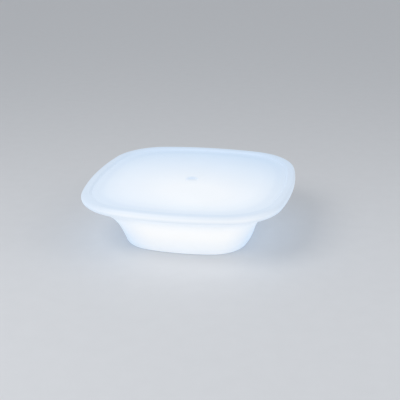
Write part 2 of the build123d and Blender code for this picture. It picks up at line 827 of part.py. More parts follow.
# Flap over the port, on a hinge pin
with BuildPart() as charge_flap:
    with BuildSketch(Plane.XY.offset(flap_bottom)):
        with Locations((port_x, port_y - flap_reach)):
            Rectangle(flap_width, flap_length, align=(Align.CENTER, Align.MIN))
            Rectangle(hinge_barrel_length, hinge_offset + flap_reach, align=(Align.CENTER, Align.MIN))
        with Locations((port_x, port_y - flap_reach)):
            Rectangle(flap_tab_width, flap_tab_length, align=(Align.CENTER, Align.MAX))
    extrude(amount=flap_thickness)
    free_end = charge_flap.edges().filter_by(Axis.Z).group_by(Axis.Y)[1].sort_by(Axis.X)
    fillet([free_end[0], free_end[-1]], flap_corner)
    with BuildSketch(Plane.YZ.offset(port_x)):
        with Locations((hinge_y, hinge_level)):
            Circle(hinge_barrel_radius)
    extrude(amount=hinge_barrel_length / 2, both=True)
    with BuildSketch(Plane.YZ.offset(port_x)):
        with Locations((hinge_y, hinge_level)):
            Circle(hinge_pin_radius + running_gap)
    extrude(amount=flap_width / 2, both=True, mode=Mode.SUBTRACT)
finish(charge_flap.part, "charge_flap")

with BuildPart() as flap_pin:
    with BuildSketch(Plane.YZ.offset(port_x)):
        with Locations((hinge_y, hinge_level)):
            Circle(hinge_pin_radius)
    extrude(amount=hinge_lug_x + hinge_lug_thickness / 2, both=True)
finish(flap_pin.part, "flap_pin")

# Light pipe that carries the charge light to the underside
with BuildPart() as charge_light_pipe:
    with Locations((0, pipe_y, base_bottom)):
        Cylinder(pipe_radius, board_bottom - base_bottom - loose_gap, align=STANDING)
        Cylinder(pipe_head_radius, pipe_head_height, align=HANGING)
    fillet(charge_light_pipe.faces().sort_by(Axis.Z)[0].edges(), pipe_head_edge)
finish(charge_light_pipe.part, "charge_light_pipe")

# Pillars, cooling plate and light board
with BuildPart() as board_pillars:
    with BuildSketch(Plane.XY.offset(base_top)):
        with Locations(pillar_places):
            RegularPolygon(pillar_radius, 6)
    extrude(amount=pillar_height)
    with Locations([(x, y, base_top) for x, y in pillar_places]):
        Cylinder(small_screw_radius, small_screw_bite, align=HANGING)
    with Locations([(x, y, spreader_bottom) for x, y in pillar_places]):
        Hole(small_screw_radius, pillar_screw_bite)
finish(board_pillars.part, "board_pillars")

with BuildPart() as cooling_plate:
    with BuildSketch(Plane.XY.offset(spreader_bottom)):
        Circle(spreader_radius)
        with Locations(pillar_places):
            Circle(small_screw_radius + seat_gap, mode=Mode.SUBTRACT)
        with PolarLocations(light_screw_circle, light_screw_count):
            Circle(small_screw_radius, mode=Mode.SUBTRACT)
        with Locations((lead_hole_x, lead_hole_y)):
            Circle(lead_hole_radius, mode=Mode.SUBTRACT)
    extrude(amount=spreader_thickness)
finish(cooling_plate.part, "cooling_plate")

with BuildPart() as pillar_screws:
    with Locations([(x, y, spreader_top) for x, y in pillar_places]):
        add(small_screw(spreader_thickness + pillar_screw_bite - seat_gap))
finish(pillar_screws.part, "pillar_screws")

with BuildPart() as light_board:
    with BuildSketch(Plane.XY.offset(spreader_top)):
        Circle(light_board_radius)
        with PolarLocations(light_screw_circle, light_screw_count):
            Circle(small_screw_radius + seat_gap, mode=Mode.SUBTRACT)
        with Locations((lead_hole_x, lead_hole_y)):
            Circle(lead_hole_radius, mode=Mode.SUBTRACT)
    extrude(amount=light_board_thickness)
finish(light_board.part, "light_board")

with BuildPart() as light_chips:
    with BuildSketch(Plane.XY.offset(light_board_top)):
        with PolarLocations(inner_light_circle, inner_light_count):
            Rectangle(light_size, light_size)
        with PolarLocations(outer_light_circle, outer_light_count):
            Rectangle(light_size, light_size)
    extrude(amount=light_height)
finish(light_chips.part, "light_chips")

with BuildPart() as light_board_screws:
    with Locations((0, 0, light_board_top)):
        with PolarLocations(light_screw_circle, light_screw_count):
            add(small_screw(light_board_thickness + spreader_thickness - seat_gap))
finish(light_board_screws.part, "light_board_screws")

# Leads from the battery to the control board
for side, name in ((1, "battery_lead_positive"), (-1, "battery_lead_negative")):
    tongue_x = side * (cell_length + tab_thickness) / 2 + (side + 1) / 2 * cell_cap_height
    socket_x = side * lead_spacing / 2
    battery_route = [
        (tongue_x, cell_places[0], tongue_top),
        (tongue_x, cell_places[0], tongue_top + battery_lead_rise),
        (
            tongue_x - side * battery_lead_swing,
            cell_places[0] - battery_lead_slant,
            tongue_top + battery_lead_crest,
        ),
        (
            socket_x + side * battery_lead_spread,
            battery_socket_y + battery_lead_turn,
            tongue_top + battery_lead_brow,
        ),
        (socket_x, battery_socket_y, tongue_top + battery_lead_drop),
        (socket_x, battery_socket_y, socket_top),
    ]
    finish(lay_tube(battery_route, lead_radius), name)

# Leads from the control board up to the light board
for side, name in ((1, "light_lead_positive"), (-1, "light_lead_negative")):
    lead_x = lead_hole_x + side * lead_spacing / 2
    light_route = [
        (lead_x, lead_socket_y, socket_top),
        (lead_x, lead_socket_y, socket_top + light_lead_rise),
        (lead_x, lead_hole_y, socket_top + light_lead_climb),
        (lead_x, lead_hole_y, light_board_top + light_lead_crest),
        (lead_x, lead_hole_y + light_lead_run, light_board_top + light_lead_crest),
        (
            lead_x,
            lead_hole_y + light_lead_run + light_lead_slope,
            light_board_top + lead_radius,
        ),
    ]
    finish(lay_tube(light_route, lead_radius), name)
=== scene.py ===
"""Dresses a low light-up lounge table: its glowing shell, what shows underneath, and a plain studio."""

import json
from math import cos, hypot, pi, radians, sin, sqrt

import bpy
from bpy.props import FloatProperty, FloatVectorProperty, IntProperty, PointerProperty
from mathutils import Matrix, Vector


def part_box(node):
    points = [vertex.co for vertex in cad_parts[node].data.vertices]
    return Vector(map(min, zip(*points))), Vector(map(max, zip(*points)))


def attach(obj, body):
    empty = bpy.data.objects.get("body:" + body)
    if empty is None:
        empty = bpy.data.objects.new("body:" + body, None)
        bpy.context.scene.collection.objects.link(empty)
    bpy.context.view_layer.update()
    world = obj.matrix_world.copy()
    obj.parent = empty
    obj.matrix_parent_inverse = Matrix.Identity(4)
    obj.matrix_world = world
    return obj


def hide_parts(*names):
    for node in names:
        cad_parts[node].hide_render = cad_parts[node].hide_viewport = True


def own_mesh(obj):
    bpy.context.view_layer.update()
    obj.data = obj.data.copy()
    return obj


bl_info = {
    "name": "Light-up Lounge Table",
    "version": (1, 0, 0),
    "blender": (4, 5, 0),
    "location": "View3D > Sidebar > Lounge Table",
    "description": "Builds the looks of a low light-up lounge table around its packed frame",
    "category": "Object",
}

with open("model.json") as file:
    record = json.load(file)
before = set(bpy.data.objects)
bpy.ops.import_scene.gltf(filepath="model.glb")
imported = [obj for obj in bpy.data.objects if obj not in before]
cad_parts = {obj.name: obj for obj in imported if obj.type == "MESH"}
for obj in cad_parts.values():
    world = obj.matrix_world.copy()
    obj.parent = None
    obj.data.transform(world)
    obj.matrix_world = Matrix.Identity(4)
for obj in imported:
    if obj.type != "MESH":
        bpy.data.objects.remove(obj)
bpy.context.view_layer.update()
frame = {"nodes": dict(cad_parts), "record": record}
shell_low, shell_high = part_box("body_shell")
plug_low, plug_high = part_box("vent_plug")
feet_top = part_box("rubber_feet")[1].z
cells_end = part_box("battery_cells")[1].x
capacitors_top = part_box("capacitors")[1].z
spring_low, spring_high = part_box("button_spring")
joints = {joint["name"]: joint for joint in frame["record"]["behaviour"]["joints"]}

MERGE_DISTANCE = 0.00001
SHARP_ANGLE = radians(34)
NODE_SPACING = 200
DRILL_SIDES = 48
FLARE_STEPS = 44
# Points of a tread's groove, as shares of half its width and of its depth
TREAD_SHAPE = ((-1, 0), (-0.5, 1), (0.5, 1), (1, 0))
# Radius and count of the two circles of light chips
LIGHT_CIRCLES = ((0.020, 8), (0.042, 16))
# Distances from the middle of a light chip over which its lens ends
LENS_EDGE = (0.0017, 0.0019)

# Strength and whiteness of the glow by the way over the shell's skin in metres, from the vent outwards
GLOW_REACH = 0.64
GLOW_STRENGTH = (
    (0.0, 0.459), (0.22, 0.459), (0.26, 0.448), (0.278, 0.424), (0.3, 0.421), (0.32, 0.397),
    (0.332, 0.39), (0.338, 0.44), (0.343, 0.515), (0.351, 0.53), (0.372, 0.495), (0.395, 0.502),
    (0.41, 0.515), (0.45, 0.56), (0.47, 0.562), (0.56, 0.56), (0.6, 0.48), (0.64, 0.43),
)
GLOW_WHITENESS = (
    (0.0, 1.0), (0.22, 1.0), (0.25, 0.95), (0.285, 0.8), (0.315, 0.62), (0.326, 0.62),
    (0.335, 0.78), (0.343, 0.82), (0.352, 0.66), (0.375, 0.635), (0.395, 0.7), (0.43, 0.88),
    (0.47, 1.0), (0.49, 1.0), (0.53, 0.86), (0.555, 0.73), (0.6, 0.6), (0.64, 0.55),
)
# Share of the strength that is left under the plug, and where the light is farthest
PLUG_LEVEL = 0.94
FAR_LEVEL = 0.90
# Ways over the skin between which the dish gives way to the rim, and the rim to the outer face
DISH_TO_RIM = (0.285, 0.305)
RIM_TO_SIDE = (0.325, 0.340)
# How squarely a face looks forwards or backwards where its painted glow starts to whiten, and where that glow
# is white
FACING = (0.62, 0.88)
# Middle of the shade of the plug's stem, and the distances from it over which the shade fades
STEM_SHADE = (-0.004, 0.014, 0.177)
STEM_SHADE_FADE = (0.006, 0.025)

# Name, place, size, and how many times weaker than the key light
LAMPS = (("key_lamp", (-1.2, -1.6, 2.2), 1.8, 1), ("fill_lamp", (1.8, -0.6, 1.6), 1.6, 3))
ROOM_COLOUR = (0.93, 0.96, 1.0, 1.0)
FLOOR_SIDES = 96


def length(name, description, default):
    """A size in metres that the panel shows as a distance."""
    return FloatProperty(
        name=name, description=description, default=default, min=0.0, subtype="DISTANCE", unit="LENGTH"
    )


def offset(name, description, default):
    """A place in metres, to either side of the middle."""
    return FloatProperty(
        name=name, description=description, default=default, subtype="DISTANCE", unit="LENGTH"
    )


def angle(name, description, default):
    """An angle given in degrees."""
    return FloatProperty(name=name, description=description, default=radians(default), subtype="ANGLE")


def colour(name, description, default):
    """A colour that the panel shows as a swatch."""
    return FloatVectorProperty(
        name=name, description=description, default=default, size=3, min=0.0, max=1.0, subtype="COLOR"
    )


def amount(name, description, default):
    """A plain number from zero upwards."""
    return FloatProperty(name=name, description=description, default=default, min=0.0)


class ShellSettings(bpy.types.PropertyGroup):
    half_width: length("Half Width", "From the middle of the top to the middle of a side", shell_high.x)
    height: length("Height", "Height of the rim above the floor", shell_high.z)
    bottom: length("Bottom", "Height of the underside above the floor", shell_low.z)
    side_bow_radius: length("Side Bow", "Radius of the four bowed sides", 1.0)
    corner_radius: length("Corner Radius", "Radius of the four round corners", 0.182)
    wall: length("Wall", "Thickness of the moulded wall", 0.005)
    foot_half: length("Foot Half Width", "Half-width of the foot just above its rounded edge", 0.208)
    foot_edge: length("Foot Edge", "Radius of the foot's lower edge", 0.010)
    flare_draft: length("Flare Draft", "How far the flare leans out evenly on its way up", 0.052)
    flare_power: amount("Flare Curve", "How late the flare sweeps out under the rim", 3.33)
    rim_height: length("Rim Height", "Height of the rounded outer face of the rim", 0.028)
    rim_bulge: length("Rim Bulge", "How far the rim's outer face bulges", 0.0114)
    rim_band: length("Rim Band", "Width of the rim around the dish", 0.025)
    rim_inner_radius: length("Rim Inner Radius", "Radius from the rim's crest into the dish", 0.005)
    dish_depth: length("Dish Depth", "Depth of the dished top", 0.008)
    dish_slope: length("Dish Slope", "How far the dish's wall leans", 0.006)
    dish_edge_radius: length("Dish Edge", "Radius around the dish's floor", 0.004)
    recess_radius: length("Vent Recess", "Radius of the recess in the middle of the top", 0.020)
    recess_depth: length("Vent Recess Depth", "Depth of that recess", 0.0025)
    recess_fillet: length("Recess Fillet", "Radius around the recess's floor", 0.0004)
    recess_lip: length("Recess Lip", "Radius around the recess's mouth", 0.0008)
    vent_pad: length("Vent Pad", "How far the lowered plastic reaches past the recess", 0.006)
    vent_radius: length("Vent Hole", "Radius of the hole that the plug closes", 0.004)
    well_radius: length("Well", "Radius of the well in the underside", 0.105)
    well_depth: length("Well Depth", "Depth of the well", 0.032)
    well_mouth_radius: length("Well Mouth", "Radius around the mouth of the well", 0.003)
    hatch_radius: length("Hatch", "Radius of the hatch in the well's ceiling", 0.084)
    hollow_inset: length("Hollow Inset", "How far the hollow stays inside the rim", 0.007)
    seat_gap: length("Seat Gap", "Gap around a foot in its seat", 0.0001)
    foot_boss: length("Foot Boss", "Height of the bosses above the feet", 0.012)
    foot_boss_radius: length("Foot Boss Radius", "Radius of those bosses", 0.015)
    blind_end: length("Blind End", "Plastic left above a foot's screw hole", 0.0015)
    insert_boss: length("Insert Boss", "Height of the bosses round the threaded inserts", 0.012)
    insert_boss_radius: length("Insert Boss Radius", "Radius of those bosses", 0.0079)
    insert_radius: length("Insert Radius", "Radius of a threaded insert", 0.0036)
    insert_depth: length("Insert Depth", "Depth of a threaded insert", 0.009)
    columns: IntProperty(name="Columns", description="Steps around the shell", default=256, min=32)


class GlowSettings(bpy.types.PropertyGroup):
    plastic_colour: colour("Plastic", "Colour of the milky plastic by itself", (0.50, 0.55, 0.62))
    near_colour: colour("Near Glow", "Colour of the glow where the light is near", (1.0, 0.958, 0.882))
    far_colour: colour("Far Glow", "Colour of the glow where the light is far away", (0.365, 0.602, 0.880))
    strength: amount("Glow Strength", "How strongly the plastic glows", 1.113)
    light_x: offset("Light Across", "Middle of the top's glow, to the right of the table's middle", 0.036)
    light_y: offset("Light Along", "Middle of the top's glow, behind the table's middle", -0.118)
    light_stretch: amount("Light Stretch", "Share of a distance that counts along the wide way", 0.717)
    light_turn: angle("Light Turn", "Turn of the glow's wide way from left and right, seen from above", -15.0)
    near: length("Near", "Distance from the light up to which the top glows fully", 0.067)
    far: length("Far", "Distance from the light past which the top glows least", 0.488)
    top_glow: amount("Top Glow", "How white the top glows where the light is nearest", 0.876)
    side_glow: amount("Side Glow", "How white the foot's left and right faces glow", 0.5)
    back_glow: amount("Back Glow", "How much the back faces count beside the front ones", 0.76)
    face_turn: angle("Face Turn", "How far the whitest places are turned from front and back", 7.5)
    rim_glow: amount("Rim Glow", "How white the rim glows where the light is farthest", 0.25)
    vent_shade: amount("Vent Shade", "Share of the whiteness left in the shade of the plug's stem", 0.5)


class PlugSettings(bpy.types.PropertyGroup):
    head_radius: length("Head Radius", "Radius of the plug's head", plug_high.x)
    head_thickness: length("Head Thickness", "Thickness of the head at its edge", 0.0016)
    crown: length("Crown", "How far the middle of the head stands above its edge", 0.0007)
    stem_radius: length("Stem Radius", "Radius of the stem in the vent hole", 0.0039)
    barb: length("Barb", "How far the barb stands out from the stem", 0.0008)
    barb_height: length("Barb Height", "Height of the barb", 0.002)
    groove_radius: length("Groove Radius", "Radius of the groove moulded in the head", 0.0150)
    groove: length("Groove", "Half-width of that groove, and its depth", 0.0004)
    gate_radius: length("Gate Mark", "Radius of the mark that the mould's gate leaves", 0.0012)


class FeetSettings(bpy.types.PropertyGroup):
    spread: length("Spread", "From the middle of the table to a foot, along one side", 0.134)
    radius: length("Radius", "Radius of a rubber foot", 0.0109)
    thickness: length("Thickness", "Thickness of a rubber foot", feet_top)
    edge: length("Edge", "Radius around the foot's lower edge", 0.001)
    recess_radius: length("Recess Radius", "Radius of the recess for the screw's head", 0.0043)
    recess_depth: length("Recess Depth", "Depth of that recess", 0.0024)
    hole_radius: length("Hole Radius", "Radius of the hole for the screw", 0.0021)
    treads: IntProperty(name="Treads", description="Grooves round the foot's tread", default=4, min=0)
    tread: length("Tread", "Width and depth of a groove", 0.0005)


class ScrewSettings(bpy.types.PropertyGroup):
    head_radius: length("Head Radius", "Radius of a screw's head", 0.004)
    shank_radius: length("Shank Radius", "Radius of a screw's shank", 0.002)
    pitch: length("Thread Pitch", "From one turn of the thread to the next", 0.0007)
    thread: length("Thread Depth", "Depth of the thread", 0.00038)
    foot_head: length("Foot Screw Head", "Height of the head of a foot's screw", 0.0016)
    foot_length: length("Foot Screw Length", "Length of a foot's screw below its head", 0.010)
    base_head: length("Base Screw Head", "Height of the head of a screw of the light unit", 0.0024)
    base_length: length("Base Screw Length", "Length of that screw below its head", 0.012)
    base_circle: length("Base Screw Circle", "Radius of the circle of those screws", 0.092)
    base_count: IntProperty(name="Base Screws", description="Screws of the light unit", default=6, min=1)
    base_level: length("Base Level", "Height of the light unit's underside", 0.0285)


class SpringSettings(bpy.types.PropertyGroup):
    wire: length("Wire", "Thickness of the wire", 0.0007)
    turns: IntProperty(name="Turns", description="How many turns the spring has", default=4, min=1)
    travel: length("Travel", "How far the button goes in", joints["power_button_slide"]["range_m"][1])


class FinishSettings(bpy.types.PropertyGroup):
    base_plastic: colour("Base", "Underside of the light unit", (0.56, 0.58, 0.60))
    button_plastic: colour("Button", "Power button", (0.30, 0.33, 0.37))
    cradle_plastic: colour("Cradle", "Battery cradle and clamp", (0.10, 0.105, 0.11))
    switch_plastic: colour("Switch", "Switch and jack housings", (0.035, 0.035, 0.04))
    socket_plastic: colour("Sockets", "Lead sockets", (0.72, 0.70, 0.64))
    clear_plastic: colour("Light Pipe", "Clear light pipe of the charge light", (0.80, 0.84, 0.86))
    opal_plastic: colour("Dome", "Diffuser dome", (0.78, 0.83, 0.88))
    rubber: colour("Feet", "Rubber of the feet", (0.045, 0.045, 0.05))
    seal_rubber: colour("Seals", "Rubber of the seals", (0.06, 0.06, 0.065))
    flap_rubber: colour("Flap", "Charging flap", (0.16, 0.17, 0.19))
    steel: colour("Screws", "Zinc-plated steel", (0.56, 0.57, 0.60))
    spring_steel: colour("Spring", "Spring steel", (0.42, 0.42, 0.43))
    nickel: colour("Contact Strips", "Nickel", (0.60, 0.58, 0.54))
    brass: colour("Brass", "Inserts, pillars and jack contact", (0.66, 0.49, 0.22))
    aluminium: colour("Cooling Plate", "Rolled aluminium", (0.68, 0.69, 0.70))
    cell_wrap: colour("Cells", "Wrap of the battery cells", (0.03, 0.14, 0.30))
    control_laminate: colour("Control Board", "Solder mask of the control board", (0.012, 0.085, 0.045))
    light_laminate: colour("Light Board", "White solder mask of the light board", (0.74, 0.76, 0.78))
    chip_epoxy: colour("Chip", "Epoxy of the control chip", (0.022, 0.022, 0.024))
    ferrite: colour("Inductor", "Ferrite of the inductor", (0.05, 0.052, 0.056))
    capacitor_sleeve: colour("Capacitors", "Sleeves of the capacitors", (0.02, 0.022, 0.03))
    light_phosphor: colour("Light Chips", "Housings of the light chips", (0.82, 0.83, 0.80))
    red_insulation: colour("Positive Leads", "Insulation of the positive leads", (0.42, 0.02, 0.02))
    black_insulation: colour("Negative Leads", "Insulation of the negative leads", (0.02, 0.02, 0.022))


class StageSettings(bpy.types.PropertyGroup):
    azimuth: angle("Azimuth", "Turn of the camera round the table", 13.305)
    elevation: angle("Elevation", "Height of the camera above the floor, as an angle", 23.516)
    roll: angle("Roll", "Tilt of the picture", -0.705)
    distance: length("Distance", "From the camera to the floor under the table", 2.625)
    aim_right: length("Aim Right", "How far the camera aims to the right of the table's middle", 0.026)
    aim_up: length("Aim Up", "How far the camera aims above the floor under the table", 0.0972)
    lens: FloatProperty(name="Lens", description="Focal length of the camera", default=69.73, unit="CAMERA")
    floor_colour: colour("Floor", "Colour of the floor", (0.70, 0.71, 0.73))
    floor_size: length("Floor Size", "Radius of the floor", 14.0)
    sky: amount("Room Light", "Strength of the even light of the room", 0.58)
    backdrop: amount("Backdrop", "How light the room looks behind the floor", 0.64)
    key: amount("Key Light", "Power of the large soft lamp", 26.0)


class Wiring:
    """Adds nodes to one tree and joins them as they are added."""

    def __init__(self, tree):
        self.tree = tree

    @staticmethod
    def pick(sockets, key):
        """One of the sockets in use, by its name or by its place."""
        in_use = [socket for socket in sockets if not socket.is_unavailable]
        return in_use[key] if isinstance(key, int) else next(s for s in in_use if s.name == key)

    def join(self, value, socket):
        """Sets a socket to a plain value, or joins it to another node's output."""
        if isinstance(value, bpy.types.Node):
            value = self.pick(value.outputs, 0)
        if isinstance(value, bpy.types.NodeSocket):
            self.tree.links.new(value, socket)
        else:
            socket.default_value = value

    def node(self, kind, inputs=None, **settings):
        """Adds a node with its settings, and sets or joins its inputs."""
        made = self.tree.nodes.new(kind)
        made.location.x = NODE_SPACING * len(self.tree.nodes)
        for name, value in settings.items():
            setattr(made, name, value)
        for key, value in (inputs or {}).items():
            self.join(value, self.pick(made.inputs, key))
        return made

    def math(self, operation, *values):
        return self.node("ShaderNodeMath", dict(enumerate(values)), operation=operation)

    def plus(self, first, second):
        return self.math("ADD", first, second)

    def minus(self, first, second):
        return self.math("SUBTRACT", first, second)

    def times(self, first, second):
        return self.math("MULTIPLY", first, second)

    def over(self, first, second):
        return self.math("DIVIDE", first, second)

    def squared(self, value):
        return self.math("MULTIPLY", value, value)

    def vector(self, operation, *values):
        return self.node("ShaderNodeVectorMath", dict(enumerate(values)), operation=operation)

    def output(self, node, name):
        return self.pick(node.outputs, name)

    def noise(self, point, scale, detail=3.0):
        return self.node("ShaderNodeTexNoise", {"Vector": point, "Scale": scale, "Detail": detail})

    def between(self, value, low, high, at_low, at_high):
        """Leads a value from one range into another, and holds it at the ends."""
        ends = {"From Min": low, "From Max": high, "To Min": at_low, "To Max": at_high}
        return self.node("ShaderNodeMapRange", {"Value": value, **ends})

    def blend(self, factor, first, second):
        return self.node("ShaderNodeMix", {"Factor": factor, "A": first, "B": second}, data_type="RGBA")

    def follow(self, value, reach, stops):
        """Looks a value up in a row of stops."""
        ramp = self.node("ShaderNodeValToRGB", {0: self.over(value, reach)})
        ramp.color_ramp.interpolation = "EASE"
        elements = ramp.color_ramp.elements
        while len(elements) < len(stops):
            elements.new(0.5)
        for element, (place, level) in zip(elements, stops):
            element.position = place / reach
            element.color = (level, level, level, 1.0)
        return self.output(ramp, "Color")


def new_piece(name, mesh):
    """Puts a mesh into the scene as a piece."""
    piece = bpy.data.objects.new(name, mesh)
    bpy.context.scene.collection.objects.link(piece)
    return piece


def new_tree(name, sizes):
    """Starts a geometry tree with a named input for each size, and returns its wiring and its input node."""
    tree = bpy.data.node_groups.new(name, "GeometryNodeTree")
    tree.interface.new_socket("Geometry", in_out="INPUT", socket_type="NodeSocketGeometry")
    tree.interface.new_socket("Geometry", in_out="OUTPUT", socket_type="NodeSocketGeometry")
    kinds = {int: "NodeSocketInt", float: "NodeSocketFloat", bpy.types.Material: "NodeSocketMaterial"}
    for label, value in sizes.items():
        kind = next(socket for known, socket in kinds.items() if isinstance(value, known))
        tree.interface.new_socket(label, in_out="INPUT", socket_type=kind)
    wiring = Wiring(tree)
    return wiring, wiring.node("NodeGroupInput")


def apply_tree(piece, tree, sizes):
    """Gives a piece the tree as a modifier, sets its inputs, and turns the result into a plain mesh."""
    modifier = piece.modifiers.new(tree.name, "NODES")
    modifier.node_group = tree
    for item in tree.interface.items_tree:
        if item.in_out == "INPUT" and item.name in sizes:
            modifier[item.identifier] = sizes[item.name]
    evaluated = piece.evaluated_get(bpy.context.evaluated_depsgraph_get())
    mesh = bpy.data.meshes.new_from_object(evaluated)
    piece.modifiers.clear()
    mesh.materials.clear()
    mesh.materials.append(sizes["Material"])
    piece.data = mesh
    mesh.name = piece.name
    return piece


def finish_tree(wiring, mesh, material):
    """Ends a tree: instances made real, material set."""
    real = wiring.node("GeometryNodeRealizeInstances", {"Geometry": mesh})
    shaded = wiring.node("GeometryNodeSetMaterial", {"Geometry": real, "Material": material})
    wiring.node("NodeGroupOutput", {0: shaded})


def bowed_square_reach(wiring, sizes, turn):
    """How far the outline of bowed sides and round corners reaches, as a share of its half-width."""
    math, plus, minus, times, squared = wiring.math, wiring.plus, wiring.minus, wiring.times, wiring.squared
    straight_x = math("ABSOLUTE", math("COSINE", turn))
    straight_y = math("ABSOLUTE", math("SINE", turn))
    across = math("MAXIMUM", straight_x, straight_y)
    aside = math("MINIMUM", straight_x, straight_y)
    half = wiring.output(sizes, "Half Width")
    bow = wiring.over(wiring.output(sizes, "Side Bow"), half)
    corner = wiring.over(wiring.output(sizes, "Corner Radius"), half)
    bow_centre = minus(1.0, bow)
    arm = minus(bow, corner)
    inside = minus(times(squared(arm), 2.0), squared(bow_centre))
    corner_centre = times(plus(bow_centre, math("SQRT", inside)), 0.5)
    # The sides: a circle of the bow's radius about a point behind the middle
    drop = times(bow_centre, aside)
    side = plus(times(bow_centre, across), math("SQRT", minus(squared(bow), squared(drop))))
    # The corners: a circle of the corner's radius about a point on the diagonal
    skew = times(corner_centre, minus(across, aside))
    corner_root = math("SQRT", minus(squared(corner), squared(skew)))
    bend = plus(times(corner_centre, plus(across, aside)), corner_root)
    # They meet on the line through both centres
    stretch = wiring.over(bow, arm)
    meet_aside = times(corner_centre, stretch)
    meet_across = plus(bow_centre, times(minus(corner_centre, bow_centre), stretch))
    in_corner = math("GREATER_THAN", times(aside, meet_across), times(across, meet_aside))
    return wiring.node("ShaderNodeMix", {"Factor": in_corner, "A": side, "B": bend})


def round_reach(wiring, sizes, turn):
    """A circle reaches its half-width everywhere."""
    return 1.0


def hexagon_reach(wiring, sizes, turn):
    """How far a hexagon reaches, as a share of its half-width across the corners."""
    sixth = pi / 3
    within = wiring.minus(wiring.math("FLOORED_MODULO", turn, sixth), sixth / 2)
    return wiring.over(cos(sixth / 2), wiring.math("COSINE", within))


def thread_cut(wiring, sizes, turn, level, mask):
    """How deep a screw's thread cuts in at one place round and along its shank."""
    wound = wiring.minus(wiring.over(level, wiring.output(sizes, "Thread Pitch")), wiring.over(turn, 2 * pi))
    flank = wiring.times(wiring.math("PINGPONG", wound, 0.5), 2.0)
    return wiring.times(wiring.times(flank, wiring.output(sizes, "Thread Depth")), mask)


def profile_object(name, rows):
    """Holds a profile for a turning tree: half-width, level, how round it is, and how deep a thread cuts."""
    mesh = bpy.data.meshes.new(name)
    mesh.from_pydata([(row[0], 0, row[1]) for row in rows], [], [])
    way = [0.0]
    for before, after in zip(rows, rows[1:]):
        way.append(way[-1] + hypot(after[0] - before[0], after[1] - before[1]))
    columns = {"roundness": [row[2] for row in rows], "threaded": [row[3] for row in rows], "travel": way}
    for label, values in columns.items():
        mesh.attributes.new(label, "FLOAT", "POINT").data.foreach_set("value", values)
    return new_piece(name, mesh)


def turn_skin(wiring, sizes, reach, carve=None):
    """Carries a profile round an outline: the grid's columns go round, and its rows follow the profile."""
    math, plus, minus, times = wiring.math, wiring.plus, wiring.minus, wiring.times
    profile = wiring.output(sizes, "Geometry")
    size = wiring.node("GeometryNodeAttributeDomainSize", {"Geometry": profile})
    count = wiring.output(size, "Point Count")
    columns = plus(wiring.output(sizes, "Columns"), 1.0)
    unit = {"Size X": 1.0, "Size Y": 1.0}
    grid = wiring.node("GeometryNodeMeshGrid", {**unit, "Vertices X": columns, "Vertices Y": count})
    place = wiring.node("ShaderNodeSeparateXYZ", {0: wiring.node("GeometryNodeInputPosition")})
    turn = times(plus(wiring.output(place, "X"), 0.5), 2 * pi)
    row_share = plus(wiring.output(place, "Y"), 0.5)
    row = math("ROUND", times(row_share, minus(count, 1.0)))

    def from_profile(value, kind):
        source = {"Geometry": profile, "Value": value, "Index": row}
        return wiring.node("GeometryNodeSampleIndex", source, data_type=kind)

    def named(name):
        value = wiring.node("GeometryNodeInputNamedAttribute", {"Name": name}, data_type="FLOAT")
        return from_profile(wiring.output(value, "Attribute"), "FLOAT")

    sampled = from_profile(wiring.node("GeometryNodeInputPosition"), "FLOAT_VECTOR")
    point = wiring.node("ShaderNodeSeparateXYZ", {0: sampled})
    half, level = wiring.output(point, "X"), wiring.output(point, "Z")
    along_x = math("COSINE", turn)
    along_y = math("SINE", turn)
    outline = reach(wiring, sizes, turn)
    blend = wiring.node("ShaderNodeMix", {"Factor": named("roundness"), "A": outline, "B": 1.0})
    out = times(half, blend)
    if carve:
        out = minus(out, carve(wiring, sizes, turn, level, named("threaded")))
    turned = {"X": times(out, along_x), "Y": times(out, along_y), "Z": level}
    position = wiring.node("ShaderNodeCombineXYZ", turned)
    marked = mark_travel(wiring, wiring.output(grid, "Mesh"), named("travel"))
    bent = wiring.node("GeometryNodeSetPosition", {"Geometry": marked, "Position": position})
    return wiring.node("GeometryNodeMergeByDistance", {"Geometry": bent, "Distance": MERGE_DISTANCE})


def mark_travel(wiring, mesh, travel):
    """Writes the way over the skin on each of a mesh's points."""
    values = {"Geometry": mesh, "Name": "travel", "Value": travel}
    return wiring.node("GeometryNodeStoreNamedAttribute", values, data_type="FLOAT", domain="POINT")


def carry_travel(wiring, solid, skin):
    """Gives every point, those of cut faces too, the travel of the skin that lies nearest to it."""
    travel = wiring.node("GeometryNodeInputNamedAttribute", {"Name": "travel"}, data_type="FLOAT")
    source = {"Mesh": skin, "Value": wiring.output(travel, "Attribute")}
    nearest = wiring.node("GeometryNodeSampleNearestSurface", source, data_type="FLOAT")
    return mark_travel(wiring, solid, nearest)


def places_in_square(wiring, spread):
    """Four points at the corners of a square."""
    side = wiring.times(spread, 2.0)
    square = {"Size X": side, "Size Y": side, "Vertices X": 2, "Vertices Y": 2}
    return wiring.output(wiring.node("GeometryNodeMeshGrid", square), "Mesh")


def places_on_circle(wiring, spread, count):
    """Points spaced evenly round a circle."""
    return wiring.node("GeometryNodeMeshCircle", {"Vertices": count, "Radius": spread})


def copies(wiring, piece, places, lift):
    """Sets a copy of a piece on each point, all of them lifted by one height."""
    set_out = wiring.node("GeometryNodeInstanceOnPoints", {"Points": places, "Instance": piece})
    real = wiring.node("GeometryNodeRealizeInstances", {"Geometry": set_out})
    shift = wiring.node("ShaderNodeCombineXYZ", {"Z": lift})
    return wiring.node("GeometryNodeSetPosition", {"Geometry": real, "Offset": shift})


